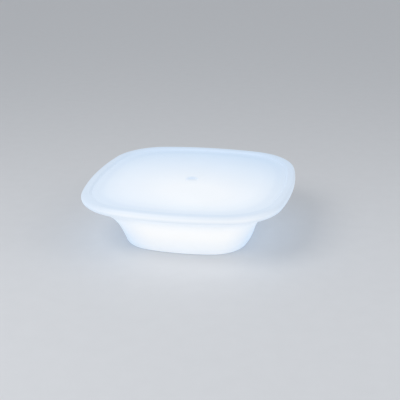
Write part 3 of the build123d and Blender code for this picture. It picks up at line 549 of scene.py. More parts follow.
def set_out_piece(name, rows, sizes, in_square, reach=round_reach, carve=None):
    """Turns one small piece and sets a copy of it on each of its places, in a square or on a circle."""
    wiring, inputs = new_tree(f"Set Out {name}", sizes)
    skin = turn_skin(wiring, inputs, reach, carve)
    spread, count = wiring.output(inputs, "Spread"), wiring.output(inputs, "Count")
    places = places_in_square(wiring, spread) if in_square else places_on_circle(wiring, spread, count)
    set_out = copies(wiring, skin, places, wiring.output(inputs, "Lift"))
    finish_tree(wiring, set_out, wiring.output(inputs, "Material"))
    return smooth(apply_tree(profile_object(name, rows), wiring.tree, sizes))


def drill(wiring, solid, radius, low, high, places, operation="DIFFERENCE"):
    """Takes a round hole out of a solid at each place, or adds a round boss to it."""
    round_bar = {"Vertices": DRILL_SIDES, "Radius": radius, "Depth": high - low}
    drum = wiring.node("GeometryNodeMeshCylinder", round_bar)
    drums = copies(wiring, wiring.output(drum, "Mesh"), places, (high + low) / 2)
    cut = wiring.node("GeometryNodeMeshBoolean", operation=operation, solver="MANIFOLD")
    sockets = [socket for socket in cut.inputs if not socket.is_unavailable]
    for part, socket in ((solid, sockets[0]), (drums, sockets[-1])):
        wiring.tree.links.new(wiring.pick(part.outputs, 0), socket)
    return cut


def smooth(piece):
    """Faces outwards and shades smooth, with its edges kept."""
    turn_outwards(piece.data)
    piece.data.shade_smooth()
    piece.data.set_sharp_from_angle(angle=SHARP_ANGLE)
    return piece


def turn_outwards(mesh):
    """Flips a closed mesh whose faces point inwards."""
    mesh.calc_loop_triangles()
    points = mesh.vertices
    corners = ([points[index].co for index in face.vertices] for face in mesh.loop_triangles)
    if sum(first.dot(second.cross(third)) for first, second, third in corners) < 0:
        mesh.flip_normals()


def arc(centre, radii, start, end, steps):
    """Points along an arc in a profile, from one angle to another in degrees."""
    turns = [radians(start + (end - start) * step / steps) for step in range(steps + 1)]
    return [(centre[0] + radii[0] * cos(turn), centre[1] + radii[1] * sin(turn)) for turn in turns]


def line(start, end, steps):
    """Points along a straight stretch of a profile."""
    along, up = end[0] - start[0], end[1] - start[1]
    shares = [step / steps for step in range(steps + 1)]
    return [(start[0] + along * share, start[1] + up * share) for share in shares]


def square(points):
    """Marks a stretch of a profile that keeps its own outline."""
    return [(half, level, 0.0, 0.0) for half, level in points]


def round_off(points):
    """Marks a stretch of a profile that is turned round."""
    return [(half, level, 1.0, 0.0) for half, level in points]


def change(points, first, last):
    """Marks a stretch of a profile that changes from one outline to the other."""
    steps = len(points) - 1
    shares = [first + (last - first) * step / steps for step in range(steps + 1)]
    return [(half, level, share, 0.0) for share, (half, level) in zip(shares, points)]


def flare(sizes, share):
    """Half-width, level and lean of the flare at a share of its height."""
    neck = sizes.half_width - sizes.rim_bulge
    low = sizes.bottom + sizes.foot_edge
    rise = sizes.height - sizes.rim_height - low
    sweep = neck - sizes.foot_half - sizes.flare_draft
    half = sizes.foot_half + sizes.flare_draft * share + sweep * share**sizes.flare_power
    lean = (sizes.flare_draft + sweep * sizes.flare_power * share ** (sizes.flare_power - 1)) / rise
    return half, low + rise * share, lean


def shell_profile(sizes):
    """The shell's closed profile: vent, dish, rim, flare, foot, underside, well, and back inside its wall."""
    margin = 0.002  # A straight stretch stops about this far short of the arc that follows it
    crest = sizes.height
    bottom = sizes.bottom
    dish_level = crest - sizes.dish_depth
    dish_half = sizes.half_width - sizes.rim_band
    recess_floor = dish_level - sizes.recess_depth
    tilt = radians(90) - Vector((sizes.dish_slope, sizes.dish_depth)).angle(Vector((0, 1)))
    half_turn = sin(tilt) / (1 + cos(tilt))
    floor_end = dish_half - sizes.dish_slope - sizes.dish_edge_radius * half_turn
    crest_start = dish_half + sizes.rim_inner_radius * half_turn
    tilt_degrees = tilt * 180 / pi
    neck = sizes.half_width - sizes.rim_bulge
    rim_middle = crest - sizes.rim_height / 2
    ceiling = bottom + sizes.well_depth
    mouth = sizes.well_radius + sizes.well_mouth_radius
    well_outside = sizes.well_radius + sizes.wall
    floor_inside = bottom + sizes.wall
    cavity_top = dish_level - sizes.wall
    foot_flat = sizes.foot_half - sizes.foot_edge
    pad_radius = sizes.recess_radius + sizes.vent_pad
    fillet, lip = sizes.recess_fillet, sizes.recess_lip
    fillet_start = sizes.recess_radius - fillet

    def corner(half, level, radius, start, end, steps):
        return arc((half, level), (radius, radius), start, end, steps)

    outer = round_off(line((sizes.vent_radius, recess_floor), (fillet_start, recess_floor), 3))
    outer += round_off(corner(fillet_start, recess_floor + fillet, fillet, -90, 0, 3))
    outer += round_off(corner(sizes.recess_radius + lip, dish_level - lip, lip, 180, 90, 4))
    floor = line((sizes.recess_radius + 2 * lip, dish_level), (floor_end - margin, dish_level), 16)
    outer += change(floor, 1.0, 0.0)
    dish_edge = sizes.dish_edge_radius
    outer += square(corner(floor_end, dish_level + dish_edge, dish_edge, -90, tilt_degrees - 90, 6))
    inner_edge = sizes.rim_inner_radius
    outer += square(corner(crest_start, crest - inner_edge, inner_edge, tilt_degrees + 90, 90, 6))
    outer += square(line((crest_start + margin, crest), (neck - margin / 2, crest), 3))
    outer += square(arc((neck, rim_middle), (sizes.rim_bulge, sizes.rim_height / 2), 90, -90, 18))
    outer += square([flare(sizes, 1 - step / FLARE_STEPS)[:2] for step in range(1, FLARE_STEPS)])
    outer += square(corner(foot_flat, bottom + sizes.foot_edge, sizes.foot_edge, 0, -90, 8))
    outer += change(line((foot_flat - margin, bottom), (mouth + margin / 2, bottom), 8), 0.0, 1.0)
    outer += round_off(corner(mouth, bottom + sizes.well_mouth_radius, sizes.well_mouth_radius, -90, -180, 5))
    outer += round_off(line((sizes.well_radius, ceiling - 10 * margin), (sizes.well_radius, ceiling), 2))

    inner = round_off([(sizes.hatch_radius, ceiling), (sizes.hatch_radius, ceiling + sizes.wall)])
    inner += round_off([(well_outside, ceiling + sizes.wall), (well_outside, floor_inside)])
    inner += change(line((well_outside + 2 * margin, floor_inside), (foot_flat, floor_inside), 5), 1.0, 0.0)
    for step in range(FLARE_STEPS // 2 + 1):
        half, level, lean = flare(sizes, 2 * step / FLARE_STEPS)
        inset = sizes.wall / sqrt(1 + lean**2)
        inner += square([(half - inset, level + inset * lean)])
    inner += square([(sizes.half_width - sizes.hollow_inset, cavity_top)])
    inner += change(line((neck - 5 * margin, cavity_top), (pad_radius, cavity_top), 8), 0.0, 1.0)
    pad = recess_floor - sizes.wall
    inner += round_off([(pad_radius, pad), (sizes.vent_radius, pad)])
    return outer + inner + outer[:1]


def plug_profile(sizes):
    """The plug's profile: barbed stem, head, groove, crown and gate mark."""
    bottom = plug_low.z
    barb_top = bottom + sizes.barb_height
    edge_level = plug_high.z - sizes.crown
    seat = edge_level - sizes.head_thickness
    edge = sizes.head_thickness / 4
    groove = sizes.groove
    flank = 0.8 * groove

    def crown(half):
        return edge_level + sizes.crown * (1 - (half / sizes.head_radius) ** 2)

    rows = [(0, bottom), (sizes.stem_radius, bottom), (sizes.stem_radius + sizes.barb, barb_top)]
    rows += [(sizes.stem_radius, barb_top), (sizes.stem_radius, seat)]
    rows += line((sizes.stem_radius + edge, seat), (sizes.head_radius - edge, seat), 6)
    rows += arc((sizes.head_radius - edge, edge_level - edge), (edge, edge), -80, 60, 8)
    outside = line((sizes.head_radius - 2 * edge, 0), (sizes.groove_radius + groove, 0), 6)
    rows += [(half, crown(half)) for half, _ in outside]
    hollow = arc((sizes.groove_radius, groove), (flank, groove), -20, -160, 6)
    rows += [(half, crown(half) - groove + level) for half, level in hollow]
    inside = line((sizes.groove_radius - groove, 0), (2 * sizes.gate_radius, 0), 12)
    rows += [(half, crown(half)) for half, _ in inside]
    gate = arc((0, 0), (sizes.gate_radius, groove / 2), 0, 90, 4)
    rows += [(half, plug_high.z - level) for half, level in gate]
    return round_off(rows)


def foot_profile(sizes):
    """A rubber foot's profile: screw hole, recess, grooved tread and rounded edge."""
    rows = [(sizes.hole_radius, sizes.thickness), (sizes.hole_radius, sizes.recess_depth)]
    rows += [(sizes.recess_radius, sizes.recess_depth), (sizes.recess_radius, sizes.tread / 2)]
    rows += [(sizes.recess_radius + sizes.tread / 2, 0)]
    flat = sizes.radius - sizes.edge - sizes.recess_radius - sizes.tread
    for number in range(sizes.treads):
        middle = sizes.recess_radius + sizes.tread + flat * (number + 0.5) / sizes.treads
        rows += [(middle + step * sizes.tread / 2, lift * sizes.tread) for step, lift in TREAD_SHAPE]
    rows += arc((sizes.radius - sizes.edge, sizes.edge), (sizes.edge, sizes.edge), -90, 0, 6)
    rows += [(sizes.radius, sizes.thickness), rows[0]]
    return round_off(rows)


def screw_profile(sizes, head_height, reach):
    """A screw's profile, pointing up from its head: hexagon socket, head, threaded shank and blunt tip."""
    socket = sizes.head_radius / 2
    socket_depth = 0.6 * head_height
    edge = head_height / 4
    face = -head_height
    floor = face + socket_depth
    run_out = 12  # The thread runs out over a twelfth of the shank at either end
    rows = square([(0, floor), (socket, floor), (socket, face + edge / 2)])
    rows += round_off([(socket + edge / 2, face)])
    rows += round_off(arc((sizes.head_radius - edge, face + edge), (edge, edge), -90, 0, 5))
    rows += round_off([(sizes.head_radius, 0), (sizes.shank_radius, 0)])
    steps = round(4 * reach / sizes.pitch)
    for step in range(1, steps):
        share = step / steps
        mask = min(1.0, run_out * share, run_out * (1 - share))
        rows.append((sizes.shank_radius, reach * share, 1.0, mask))
    rows += round_off([(sizes.shank_radius - sizes.thread, reach), (0, reach)])
    return rows


def glowing_plastic(name, settings, nearness, level):
    """Milky plastic lit from inside: whiter where the light is near, and bluer and duller where it is far."""
    cloud_scale, grain_scale = 9.0, 900.0
    material, wiring, shader, point = new_finish(name)
    clouds = wiring.noise(point, cloud_scale)
    grain = wiring.noise(point, grain_scale, 2.0)
    plastic = settings.plastic_colour
    wiring.join(wiring.blend(clouds, shade(plastic, 0.94), shade(plastic, 1.0)), shader.inputs["Base Color"])
    wiring.join(wiring.between(clouds, 0.0, 1.0, 0.36, 0.48), shader.inputs["Roughness"])
    bump = wiring.node("ShaderNodeBump", {"Height": grain, "Strength": 0.05, "Distance": 0.0004})
    wiring.join(bump, shader.inputs["Normal"])
    near = nearness(wiring, point, settings)
    tint = wiring.blend(near, shade(settings.far_colour, 1.0), shade(settings.near_colour, 1.0))
    faded = wiring.times(level(wiring), wiring.between(near, 0.0, 1.0, FAR_LEVEL, 1.0))
    uneven = wiring.times(faded, wiring.between(clouds, 0.2, 0.8, 0.985, 1.015))
    tint_colour = wiring.output(tint, "Result")
    glow = wiring.node("ShaderNodeVectorMath", {0: tint_colour, "Scale": uneven}, operation="SCALE")
    wiring.join(glow, shader.inputs["Emission Color"])
    shader.inputs["Emission Strength"].default_value = settings.strength
    shader.inputs["Specular IOR Level"].default_value = 0.4
    return material


def along_skin(wiring):
    """The way over the shell's skin, as its mesh carries it."""
    return wiring.output(wiring.node("ShaderNodeAttribute", attribute_name="travel"), "Fac")


def near_through_top(wiring, point, settings):
    """How near the light is to a place on the top."""
    away = wiring.vector("SUBTRACT", point, (settings.light_x, settings.light_y, 0.0))
    turn = {"Vector": away, "Angle": -settings.light_turn}
    turned = wiring.node("ShaderNodeVectorRotate", turn, rotation_type="Z_AXIS")
    narrowed = wiring.vector("MULTIPLY", turned, (settings.light_stretch, 1.0, 0.0))
    distance = wiring.output(wiring.vector("LENGTH", narrowed), "Value")
    near = wiring.between(distance, settings.near, settings.far, settings.top_glow, 0.0)
    # The light stands nearer the front, so that the plug's stem shades the far side of the vent
    from_shade = wiring.output(wiring.vector("DISTANCE", point, STEM_SHADE), "Value")
    return wiring.times(near, wiring.between(from_shade, *STEM_SHADE_FADE, settings.vent_shade, 1.0))


def near_through_shell(wiring, point, settings):
    """How near the light is: over the dish as above, a little more on the rim, then by where a face looks."""
    flat = wiring.vector("MULTIPLY", point, (1.0, 1.0, 0.0))
    outwards = wiring.vector("NORMALIZE", flat)
    front = (sin(settings.face_turn), -cos(settings.face_turn), 0.0)
    facing = wiring.output(wiring.vector("DOT_PRODUCT", outwards, front), "Value")
    forward = wiring.math("MAXIMUM", facing, wiring.times(facing, -settings.back_glow))
    side = wiring.between(forward, *FACING, settings.side_glow, 1.0)
    on_side = wiring.between(along_skin(wiring), *RIM_TO_SIDE, 0.0, 1.0)
    top = near_through_top(wiring, point, settings)
    on_rim = wiring.between(along_skin(wiring), *DISH_TO_RIM, 0.0, 1.0)
    lifted = wiring.between(top, 0.0, settings.top_glow, settings.rim_glow, settings.top_glow)
    near = wiring.node("ShaderNodeMix", {"Factor": on_rim, "A": top, "B": lifted})
    near = wiring.node("ShaderNodeMix", {"Factor": on_side, "A": near, "B": side})
    return wiring.times(near, wiring.follow(along_skin(wiring), GLOW_REACH, GLOW_WHITENESS))


def shell_level(wiring):
    """How strongly the shell glows at a place on its skin."""
    return wiring.follow(along_skin(wiring), GLOW_REACH, GLOW_STRENGTH)


def plug_level(wiring):
    """The plug lies over its seat, so that a little less light comes through."""
    return PLUG_LEVEL * GLOW_STRENGTH[0][1]


def new_finish(name):
    """Starts a material: its wiring, its shader and the place on the piece."""
    material = bpy.data.materials.new(name)
    material.use_nodes = True
    wiring = Wiring(material.node_tree)
    point = wiring.output(wiring.node("ShaderNodeTexCoord"), "Object")
    return material, wiring, material.node_tree.nodes["Principled BSDF"], point


def shade(colour, share):
    """A colour made darker or lighter, as a shader takes it."""
    return [part * share for part in colour] + [1.0]


def surface(
    name,
    colour,
    roughness,
    grain,
    relief,
    cloudy=1.0,
    stretch=(1, 1, 1),
    accent=None,
    accent_colour=(0, 0, 0),
    sockets=None,
):
    """A finish: cloudy colour, uneven gloss, a fine raised grain, and an accent where a pattern says so."""
    sockets = sockets or {}
    darker, lighter = 1 - 0.14 * cloudy, 1 + 0.08 * cloudy
    material, wiring, shader, point = new_finish(name)
    drawn = wiring.vector("MULTIPLY", point, stretch)
    clouds = wiring.noise(drawn, grain / 12, 4.0)
    fine = wiring.noise(drawn, grain)
    mixed = wiring.blend(clouds, shade(colour, darker), shade(colour, lighter))
    if accent:
        plain = wiring.output(mixed, "Result")
        mixed = wiring.blend(accent(wiring, point), plain, shade(accent_colour, 1.0))
    wiring.join(wiring.output(mixed, "Result"), shader.inputs["Base Color"])
    glossy, dull = roughness * 0.85, roughness * 1.15
    wiring.join(wiring.between(fine, 0.25, 0.75, glossy, dull), shader.inputs["Roughness"])
    bump = wiring.node("ShaderNodeBump", {"Height": fine, "Strength": relief, "Distance": 0.0003})
    wiring.join(bump, shader.inputs["Normal"])
    for label, value in sockets.items():
        shader.inputs[label].default_value = value
    if "Emission Strength" in sockets:
        wiring.join(wiring.output(mixed, "Result"), shader.inputs["Emission Color"])
    return material


def part_of(wiring, point, axis):
    """One axis of a place."""
    return wiring.output(wiring.node("ShaderNodeSeparateXYZ", {0: point}), axis)


def cell_ends(wiring, point):
    """The bare steel ends of the cells."""
    bare = 0.0018
    return wiring.math("GREATER_THAN", wiring.math("ABSOLUTE", part_of(wiring, point, "X")), cells_end - bare)


def capacitor_ends(wiring, point):
    """The bare tops of the capacitors."""
    bare = 0.0003
    return wiring.math("GREATER_THAN", part_of(wiring, point, "Z"), capacitors_top - bare)


def board_tracks(wiring, point):
    """Copper tracks under the solder mask, which run in blocks."""
    size = {"Scale": 170.0, "Mortar Size": 0.06, "Mortar Smooth": 0.2, "Brick Width": 1.6, "Row Height": 0.45}
    block_scale = 60.0
    tracks = wiring.node("ShaderNodeTexBrick", {"Vector": point, **size})
    blocks = wiring.between(wiring.noise(point, block_scale), 0.45, 0.55, 0.0, 1.0)
    return wiring.times(wiring.output(tracks, "Fac"), blocks)


def chip_lenses(wiring, point):
    """The round lenses of the light chips, which stand on two circles."""
    math, plus, minus, squared = wiring.math, wiring.plus, wiring.minus, wiring.squared
    x, y = part_of(wiring, point, "X"), part_of(wiring, point, "Y")
    away = math("SQRT", plus(squared(x), squared(y)))
    outer = math("GREATER_THAN", away, (LIGHT_CIRCLES[0][0] + LIGHT_CIRCLES[1][0]) / 2)
    turn = math("ARCTAN2", y, x)

    def from_chip(circle, count):
        part = 2 * pi / count
        angle_off = minus(math("FLOORED_MODULO", plus(turn, part / 2), part), part / 2)
        aside = wiring.times(angle_off, circle)
        return math("SQRT", plus(squared(aside), squared(minus(away, circle))))

    inner_chip, outer_chip = (from_chip(*circle) for circle in LIGHT_CIRCLES)
    nearest = wiring.node("ShaderNodeMix", {"Factor": outer, "A": inner_chip, "B": outer_chip})
    return wiring.between(nearest, *LENS_EDGE, 1.0, 0.0)


METAL = {"Metallic": 1.0}
# What each slot's finish is made of, by the name of the slot
FINISHES = {
    "base_plastic": dict(roughness=0.48, grain=1100, relief=0.22, cloudy=0.3),
    "button_plastic": dict(
        roughness=0.38, grain=1400, relief=0.10, cloudy=0.4, sockets={"Coat Weight": 0.15},
    ),
    "cradle_plastic": dict(roughness=0.50, grain=900, relief=0.15, cloudy=0.5),
    "switch_plastic": dict(roughness=0.42, grain=1200, relief=0.12),
    "socket_plastic": dict(roughness=0.45, grain=1000, relief=0.10, cloudy=0.4),
    "clear_plastic": dict(
        roughness=0.12, grain=500, relief=0.03, sockets={"Transmission Weight": 0.7, "IOR": 1.49},
    ),
    # The dome's even glow is painted light, standing for the chips' light shining through it
    "opal_plastic": dict(roughness=0.40, grain=400, relief=0.05, sockets={"Emission Strength": 0.6}),
    "rubber": dict(roughness=0.78, grain=1500, relief=0.35),
    "seal_rubber": dict(roughness=0.82, grain=1300, relief=0.30),
    "flap_rubber": dict(roughness=0.66, grain=1600, relief=0.25),
    "steel": dict(roughness=0.32, grain=900, relief=0.12, stretch=(1, 1, 0.3), sockets=METAL),
    "spring_steel": dict(roughness=0.28, grain=1200, relief=0.10, stretch=(0.2, 0.2, 1), sockets=METAL),
    "nickel": dict(roughness=0.30, grain=1500, relief=0.15, stretch=(1, 0.08, 1), sockets=METAL),
    "brass": dict(roughness=0.34, grain=1000, relief=0.15, stretch=(0.2, 0.2, 1), sockets=METAL),
    "aluminium": dict(roughness=0.36, grain=1600, relief=0.20, stretch=(0.05, 1, 1), sockets=METAL),
    "cell_wrap": dict(
        roughness=0.30, grain=500, relief=0.06, accent=cell_ends, accent_colour=(0.55, 0.54, 0.52),
        sockets={"Coat Weight": 0.4},
    ),
    "control_laminate": dict(
        roughness=0.30, grain=2200, relief=0.15, accent=board_tracks, accent_colour=(0.03, 0.16, 0.08),
        sockets={"Coat Weight": 0.3},
    ),
    "light_laminate": dict(
        roughness=0.42, grain=1800, relief=0.10, accent=board_tracks, accent_colour=(0.62, 0.64, 0.66),
    ),
    "chip_epoxy": dict(roughness=0.55, grain=2500, relief=0.25),
    "ferrite": dict(roughness=0.60, grain=2000, relief=0.35),
    "capacitor_sleeve": dict(
        roughness=0.30, grain=700, relief=0.05, accent=capacitor_ends, accent_colour=(0.60, 0.61, 0.62),
    ),
    "light_phosphor": dict(
        roughness=0.35, grain=1500, relief=0.05, accent=chip_lenses, accent_colour=(1.0, 0.86, 0.42),
        sockets={"Emission Strength": 0.5},
    ),
    "red_insulation": dict(roughness=0.40, grain=900, relief=0.08),
    "black_insulation": dict(roughness=0.42, grain=900, relief=0.08),
}


def slot_finish(settings, slot):
    """The material of one slot, made once."""
    return bpy.data.materials.get(slot + "_finish") or surface(
        slot + "_finish", tuple(getattr(settings, slot)), **FINISHES[slot]
    )


def place_piece(piece, node):
    """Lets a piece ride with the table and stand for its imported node."""
    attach(piece, "table")
    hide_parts(node)


class TABLE_OT_shell(bpy.types.Operator):
    """Moulds the glowing shell: its dish, rim, flare and foot, and the well in its underside"""

    bl_idname = "lounge_table.shell"
    bl_label = "Moulded Shell"

    def execute(self, context):
        settings = context.scene.table_shell
        feet = context.scene.table_feet
        screws = context.scene.table_screws
        glow = context.scene.table_glow
        sizes = {
            "Half Width": settings.half_width,
            "Side Bow": settings.side_bow_radius,
            "Corner Radius": settings.corner_radius,
            "Columns": settings.columns,
            "Feet Spread": feet.spread,
            "Feet Radius": feet.radius + settings.seat_gap,
            "Screw Circle": screws.base_circle,
            "Screw Count": screws.base_count,
            "Material": glowing_plastic("glowing_shell", glow, near_through_shell, shell_level),
        }
        wiring, inputs = new_tree("Moulded Shell", sizes)
        skin = turn_skin(wiring, inputs, bowed_square_reach)
        circle, count = wiring.output(inputs, "Screw Circle"), wiring.output(inputs, "Screw Count")
        feet_places = places_in_square(wiring, wiring.output(inputs, "Feet Spread"))
        screw_places = places_on_circle(wiring, circle, count)
        bottom, boss_top = settings.bottom, settings.bottom + settings.foot_boss
        ceiling = settings.bottom + settings.well_depth
        inside = settings.wall / 2
        foot_seat = wiring.output(inputs, "Feet Radius")
        blind_top = boss_top - settings.blind_end
        insert_boss_top = ceiling + settings.insert_boss
        insert_top = ceiling + settings.insert_depth
        added = (
            (settings.foot_boss_radius, bottom + inside, boss_top, feet_places),
            (settings.insert_boss_radius, ceiling + inside, insert_boss_top, screw_places),
        )
        taken_out = (
            (foot_seat, 0.0, feet_top, feet_places),
            (screws.shank_radius, 0.0, blind_top, feet_places),
            (settings.insert_radius, ceiling - inside, insert_top, screw_places),
        )
        solid = skin
        for boss in added:
            solid = drill(wiring, solid, *boss, operation="UNION")
        for hole in taken_out:
            solid = drill(wiring, solid, *hole)
        finish_tree(wiring, carry_travel(wiring, solid, skin), wiring.output(inputs, "Material"))
        piece = profile_object("moulded_shell", shell_profile(settings))
        place_piece(smooth(apply_tree(piece, wiring.tree, sizes)), "body_shell")
        return {"FINISHED"}


class TABLE_OT_plug(bpy.types.Operator):
    """Turns the plug that closes the vent in the middle of the top"""

    bl_idname = "lounge_table.plug"
    bl_label = "Vent Plug"

    def execute(self, context):
        material = glowing_plastic("glowing_plug", context.scene.table_glow, near_through_top, plug_level)
        sizes = {"Columns": 96, "Material": material}
        wiring, inputs = new_tree("Vent Plug", sizes)
        skin = turn_skin(wiring, inputs, round_reach)
        finish_tree(wiring, skin, wiring.output(inputs, "Material"))
        piece = profile_object("vent_cap", plug_profile(context.scene.table_plug))
        place_piece(smooth(apply_tree(piece, wiring.tree, sizes)), "vent_plug")
        return {"FINISHED"}


class TABLE_OT_feet(bpy.types.Operator):
    """Sets out the rubber feet with their treads"""

    bl_idname = "lounge_table.feet"
    bl_label = "Rubber Feet"

    def execute(self, context):
        settings = context.scene.table_feet
        sizes = {
            "Columns": 64,
            "Spread": settings.spread,
            "Count": 4,
            "Lift": 0.0,
            "Material": slot_finish(context.scene.table_finishes, "rubber"),
        }
        feet = set_out_piece("tread_feet", foot_profile(settings), sizes, in_square=True)
        place_piece(feet, "rubber_feet")
        return {"FINISHED"}


class TABLE_OT_screws(bpy.types.Operator):
    """Sets out the screws that hold the feet and the light unit"""

    bl_idname = "lounge_table.screws"
    bl_label = "Screws"

    def execute(self, context):
        settings = context.scene.table_screws
        feet = context.scene.table_feet
        shared = {
            "Columns": 24,
            "Thread Pitch": settings.pitch,
            "Thread Depth": settings.thread,
            "Material": slot_finish(context.scene.table_finishes, "steel"),
        }
        foot_sizes = {**shared, "Spread": feet.spread, "Count": 4, "Lift": feet.recess_depth}
        foot_rows = screw_profile(settings, settings.foot_head, settings.foot_length)
        base_places = {"Spread": settings.base_circle, "Count": settings.base_count}
        base_sizes = {**shared, **base_places, "Lift": settings.base_level}
        base_rows = screw_profile(settings, settings.base_head, settings.base_length)
        cut = {"reach": hexagon_reach, "carve": thread_cut}
        foot_set = set_out_piece("feet_screws", foot_rows, foot_sizes, in_square=True, **cut)
        base_set = set_out_piece("unit_screws", base_rows, base_sizes, in_square=False, **cut)
        place_piece(foot_set, "foot_screws")
        place_piece(base_set, "base_screws")
        return {"FINISHED"}


class TABLE_OT_spring(bpy.types.Operator):
    """Winds the return spring of the button, as it stands before the button presses it together"""

    bl_idname = "lounge_table.spring"
    bl_label = "Button Spring"

    def execute(self, context):
        settings = context.scene.table_spring
        middle = (spring_low + spring_high) / 2
        height = spring_high.z - spring_low.z
        sizes = {
            "Radius": (spring_high.x - spring_low.x - settings.wire) / 2,
            "Wire": settings.wire,
            "Turns": float(settings.turns),
            "Material": slot_finish(context.scene.table_finishes, "spring_steel"),
        }
        wiring, inputs = new_tree("Button Spring", sizes)
        radius, wire = wiring.output(inputs, "Radius"), wiring.output(inputs, "Wire")
        climb = wiring.minus(height, wire)
        turns = wiring.output(inputs, "Turns")
        winding = {"Resolution": 40, "Rotations": turns, "Height": climb}
        coil = {**winding, "Start Radius": radius, "End Radius": radius}
        path = wiring.node("GeometryNodeCurveSpiral", coil)
        thickness = wiring.times(wire, 0.5)
        section = wiring.node("GeometryNodeCurvePrimitiveCircle", {"Resolution": 16, "Radius": thickness})
        sweep = {"Curve": path, "Profile Curve": section, "Fill Caps": True}
        wound = wiring.node("GeometryNodeCurveToMesh", sweep)
        start = wiring.plus(thickness, spring_low.z)
        seat = wiring.node("ShaderNodeCombineXYZ", {"X": middle.x, "Y": middle.y, "Z": start})
        seated = wiring.node("GeometryNodeSetPosition", {"Geometry": wound, "Offset": seat})
        finish_tree(wiring, seated, wiring.output(inputs, "Material"))
        piece = new_piece("wound_spring", bpy.data.meshes.new("wound_spring"))
        place_piece(smooth(apply_tree(piece, wiring.tree, sizes)), "button_spring")
        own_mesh(piece)
        return {"FINISHED"}


class TABLE_OT_finishes(bpy.types.Operator):
    """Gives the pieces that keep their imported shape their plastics, rubbers and metals"""

    bl_idname = "lounge_table.finishes"
    bl_label = "Finishes"

    def execute(self, context):
        for node in frame["nodes"].values():
            for slot in node.material_slots:
                if slot.material.name in FINISHES:
                    slot.material = slot_finish(context.scene.table_finishes, slot.material.name)
        return {"FINISHED"}


class TABLE_OT_stage(bpy.types.Operator):
    """Sets the floor, the lamps and the camera"""

    bl_idname = "lounge_table.stage"
    bl_label = "Studio"

    def execute(self, context):
        settings = context.scene.table_stage
        make_floor(settings)
        make_room_light(context.scene, settings)
        make_lamps(settings)
        make_camera(context.scene, settings)
        context.scene.view_settings.view_transform = "Standard"
        return {"FINISHED"}


def make_floor(settings):
    """Lays the round floor, wide enough to end out of sight."""
    turns = [2 * pi * step / FLOOR_SIDES for step in range(FLOOR_SIDES)]
    size = settings.floor_size
    ring = [(size * cos(turn), size * sin(turn), 0.0) for turn in turns]
    mesh = bpy.data.meshes.new("floor")
    mesh.from_pydata(ring, [], [range(FLOOR_SIDES)])
    floor = new_piece("floor", mesh)
    colour = tuple(settings.floor_colour)
    mesh.materials.append(
        surface("studio_floor", colour, roughness=0.6, grain=240.0, relief=0.02, cloudy=0.2)
    )


def make_room_light(scene, settings):
    """Fills the room with even light, and lets it look a little lighter than it shines."""
    world = bpy.data.worlds.new("studio")
    scene.world = world
    world.use_nodes = True
    wiring = Wiring(world.node_tree)
    background = world.node_tree.nodes["Background"]
    path = wiring.node("ShaderNodeLightPath")
    seen = wiring.math("MAXIMUM", wiring.output(path, "Is Camera Ray"), wiring.output(path, "Is Glossy Ray"))
    seen = wiring.math("MAXIMUM", seen, wiring.output(path, "Is Transmission Ray"))
    ends = {"To Min": settings.sky, "To Max": settings.backdrop}
    strength = wiring.node("ShaderNodeMapRange", {"Value": seen, **ends})
    background.inputs["Color"].default_value = ROOM_COLOUR
    wiring.join(strength, background.inputs["Strength"])


def make_lamps(settings):
    """Hangs a large soft key lamp and a weaker fill lamp, both turned to the table."""
    for name, place, size, weakness in LAMPS:
        lamp = bpy.data.lights.new(name, "AREA")
        lamp.shape = "DISK"
        lamp.size = size
        lamp.energy = settings.key / weakness
        holder = bpy.data.objects.new(name, lamp)
        bpy.context.scene.collection.objects.link(holder)
        holder.location = place
        holder.rotation_euler = (-Vector(place)).to_track_quat("-Z", "Y").to_euler()


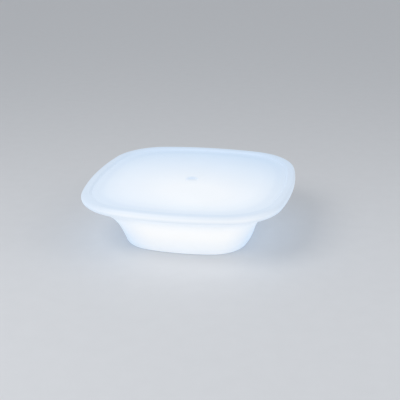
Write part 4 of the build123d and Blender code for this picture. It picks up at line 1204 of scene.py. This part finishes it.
def make_camera(scene, settings):
    """Stands the camera where the picture was taken from."""
    turn, rise = settings.azimuth, settings.elevation
    place = settings.distance * Vector((cos(rise) * sin(turn), -cos(rise) * cos(turn), sin(rise)))
    forward = -place.normalized()
    right = forward.cross(Vector((0, 0, 1))).normalized()
    up = right.cross(forward)
    forward = (right * settings.aim_right + up * settings.aim_up - place).normalized()
    right = forward.cross(Vector((0, 0, 1))).normalized()
    up = right.cross(forward)
    side = right * cos(settings.roll) + up * sin(settings.roll)
    top = up * cos(settings.roll) - right * sin(settings.roll)
    camera = bpy.data.cameras.new("camera")
    camera.lens = settings.lens
    holder = bpy.data.objects.new("camera", camera)
    scene.collection.objects.link(holder)
    holder.matrix_world = Matrix.Translation(place) @ Matrix((side, top, -forward)).transposed().to_4x4()
    scene.camera = holder


class TABLE_PT_panel(bpy.types.Panel):
    """Lists the table's pieces and the studio"""

    bl_idname = "TABLE_PT_panel"
    bl_label = "Lounge Table"
    bl_space_type = "VIEW_3D"
    bl_region_type = "UI"
    bl_category = "Lounge Table"

    def draw(self, context):
        for operator in OPERATORS:
            self.layout.operator(operator.bl_idname)


OPERATORS = (
    TABLE_OT_finishes,
    TABLE_OT_shell,
    TABLE_OT_plug,
    TABLE_OT_feet,
    TABLE_OT_screws,
    TABLE_OT_spring,
    TABLE_OT_stage,
)
SETTINGS = {
    "table_shell": ShellSettings,
    "table_glow": GlowSettings,
    "table_plug": PlugSettings,
    "table_feet": FeetSettings,
    "table_screws": ScrewSettings,
    "table_spring": SpringSettings,
    "table_finishes": FinishSettings,
    "table_stage": StageSettings,
}


def register():
    """Makes the settings, the operators and the panel known to Blender."""
    for cls in (*SETTINGS.values(), *OPERATORS, TABLE_PT_panel):
        bpy.utils.register_class(cls)
    for name, cls in SETTINGS.items():
        setattr(bpy.types.Scene, name, PointerProperty(type=cls))


def unregister():
    """Takes them away again."""
    for name in SETTINGS:
        delattr(bpy.types.Scene, name)
    for cls in (TABLE_PT_panel, *OPERATORS[::-1], *SETTINGS.values()):
        bpy.utils.unregister_class(cls)


def main():
    """Builds the table and the studio."""
    register()
    bpy.ops.lounge_table.finishes()
    bpy.ops.lounge_table.shell()
    bpy.ops.lounge_table.plug()
    bpy.ops.lounge_table.feet()
    bpy.ops.lounge_table.screws()
    bpy.ops.lounge_table.spring()
    bpy.ops.lounge_table.stage()


if __name__ == "__main__":
    main()
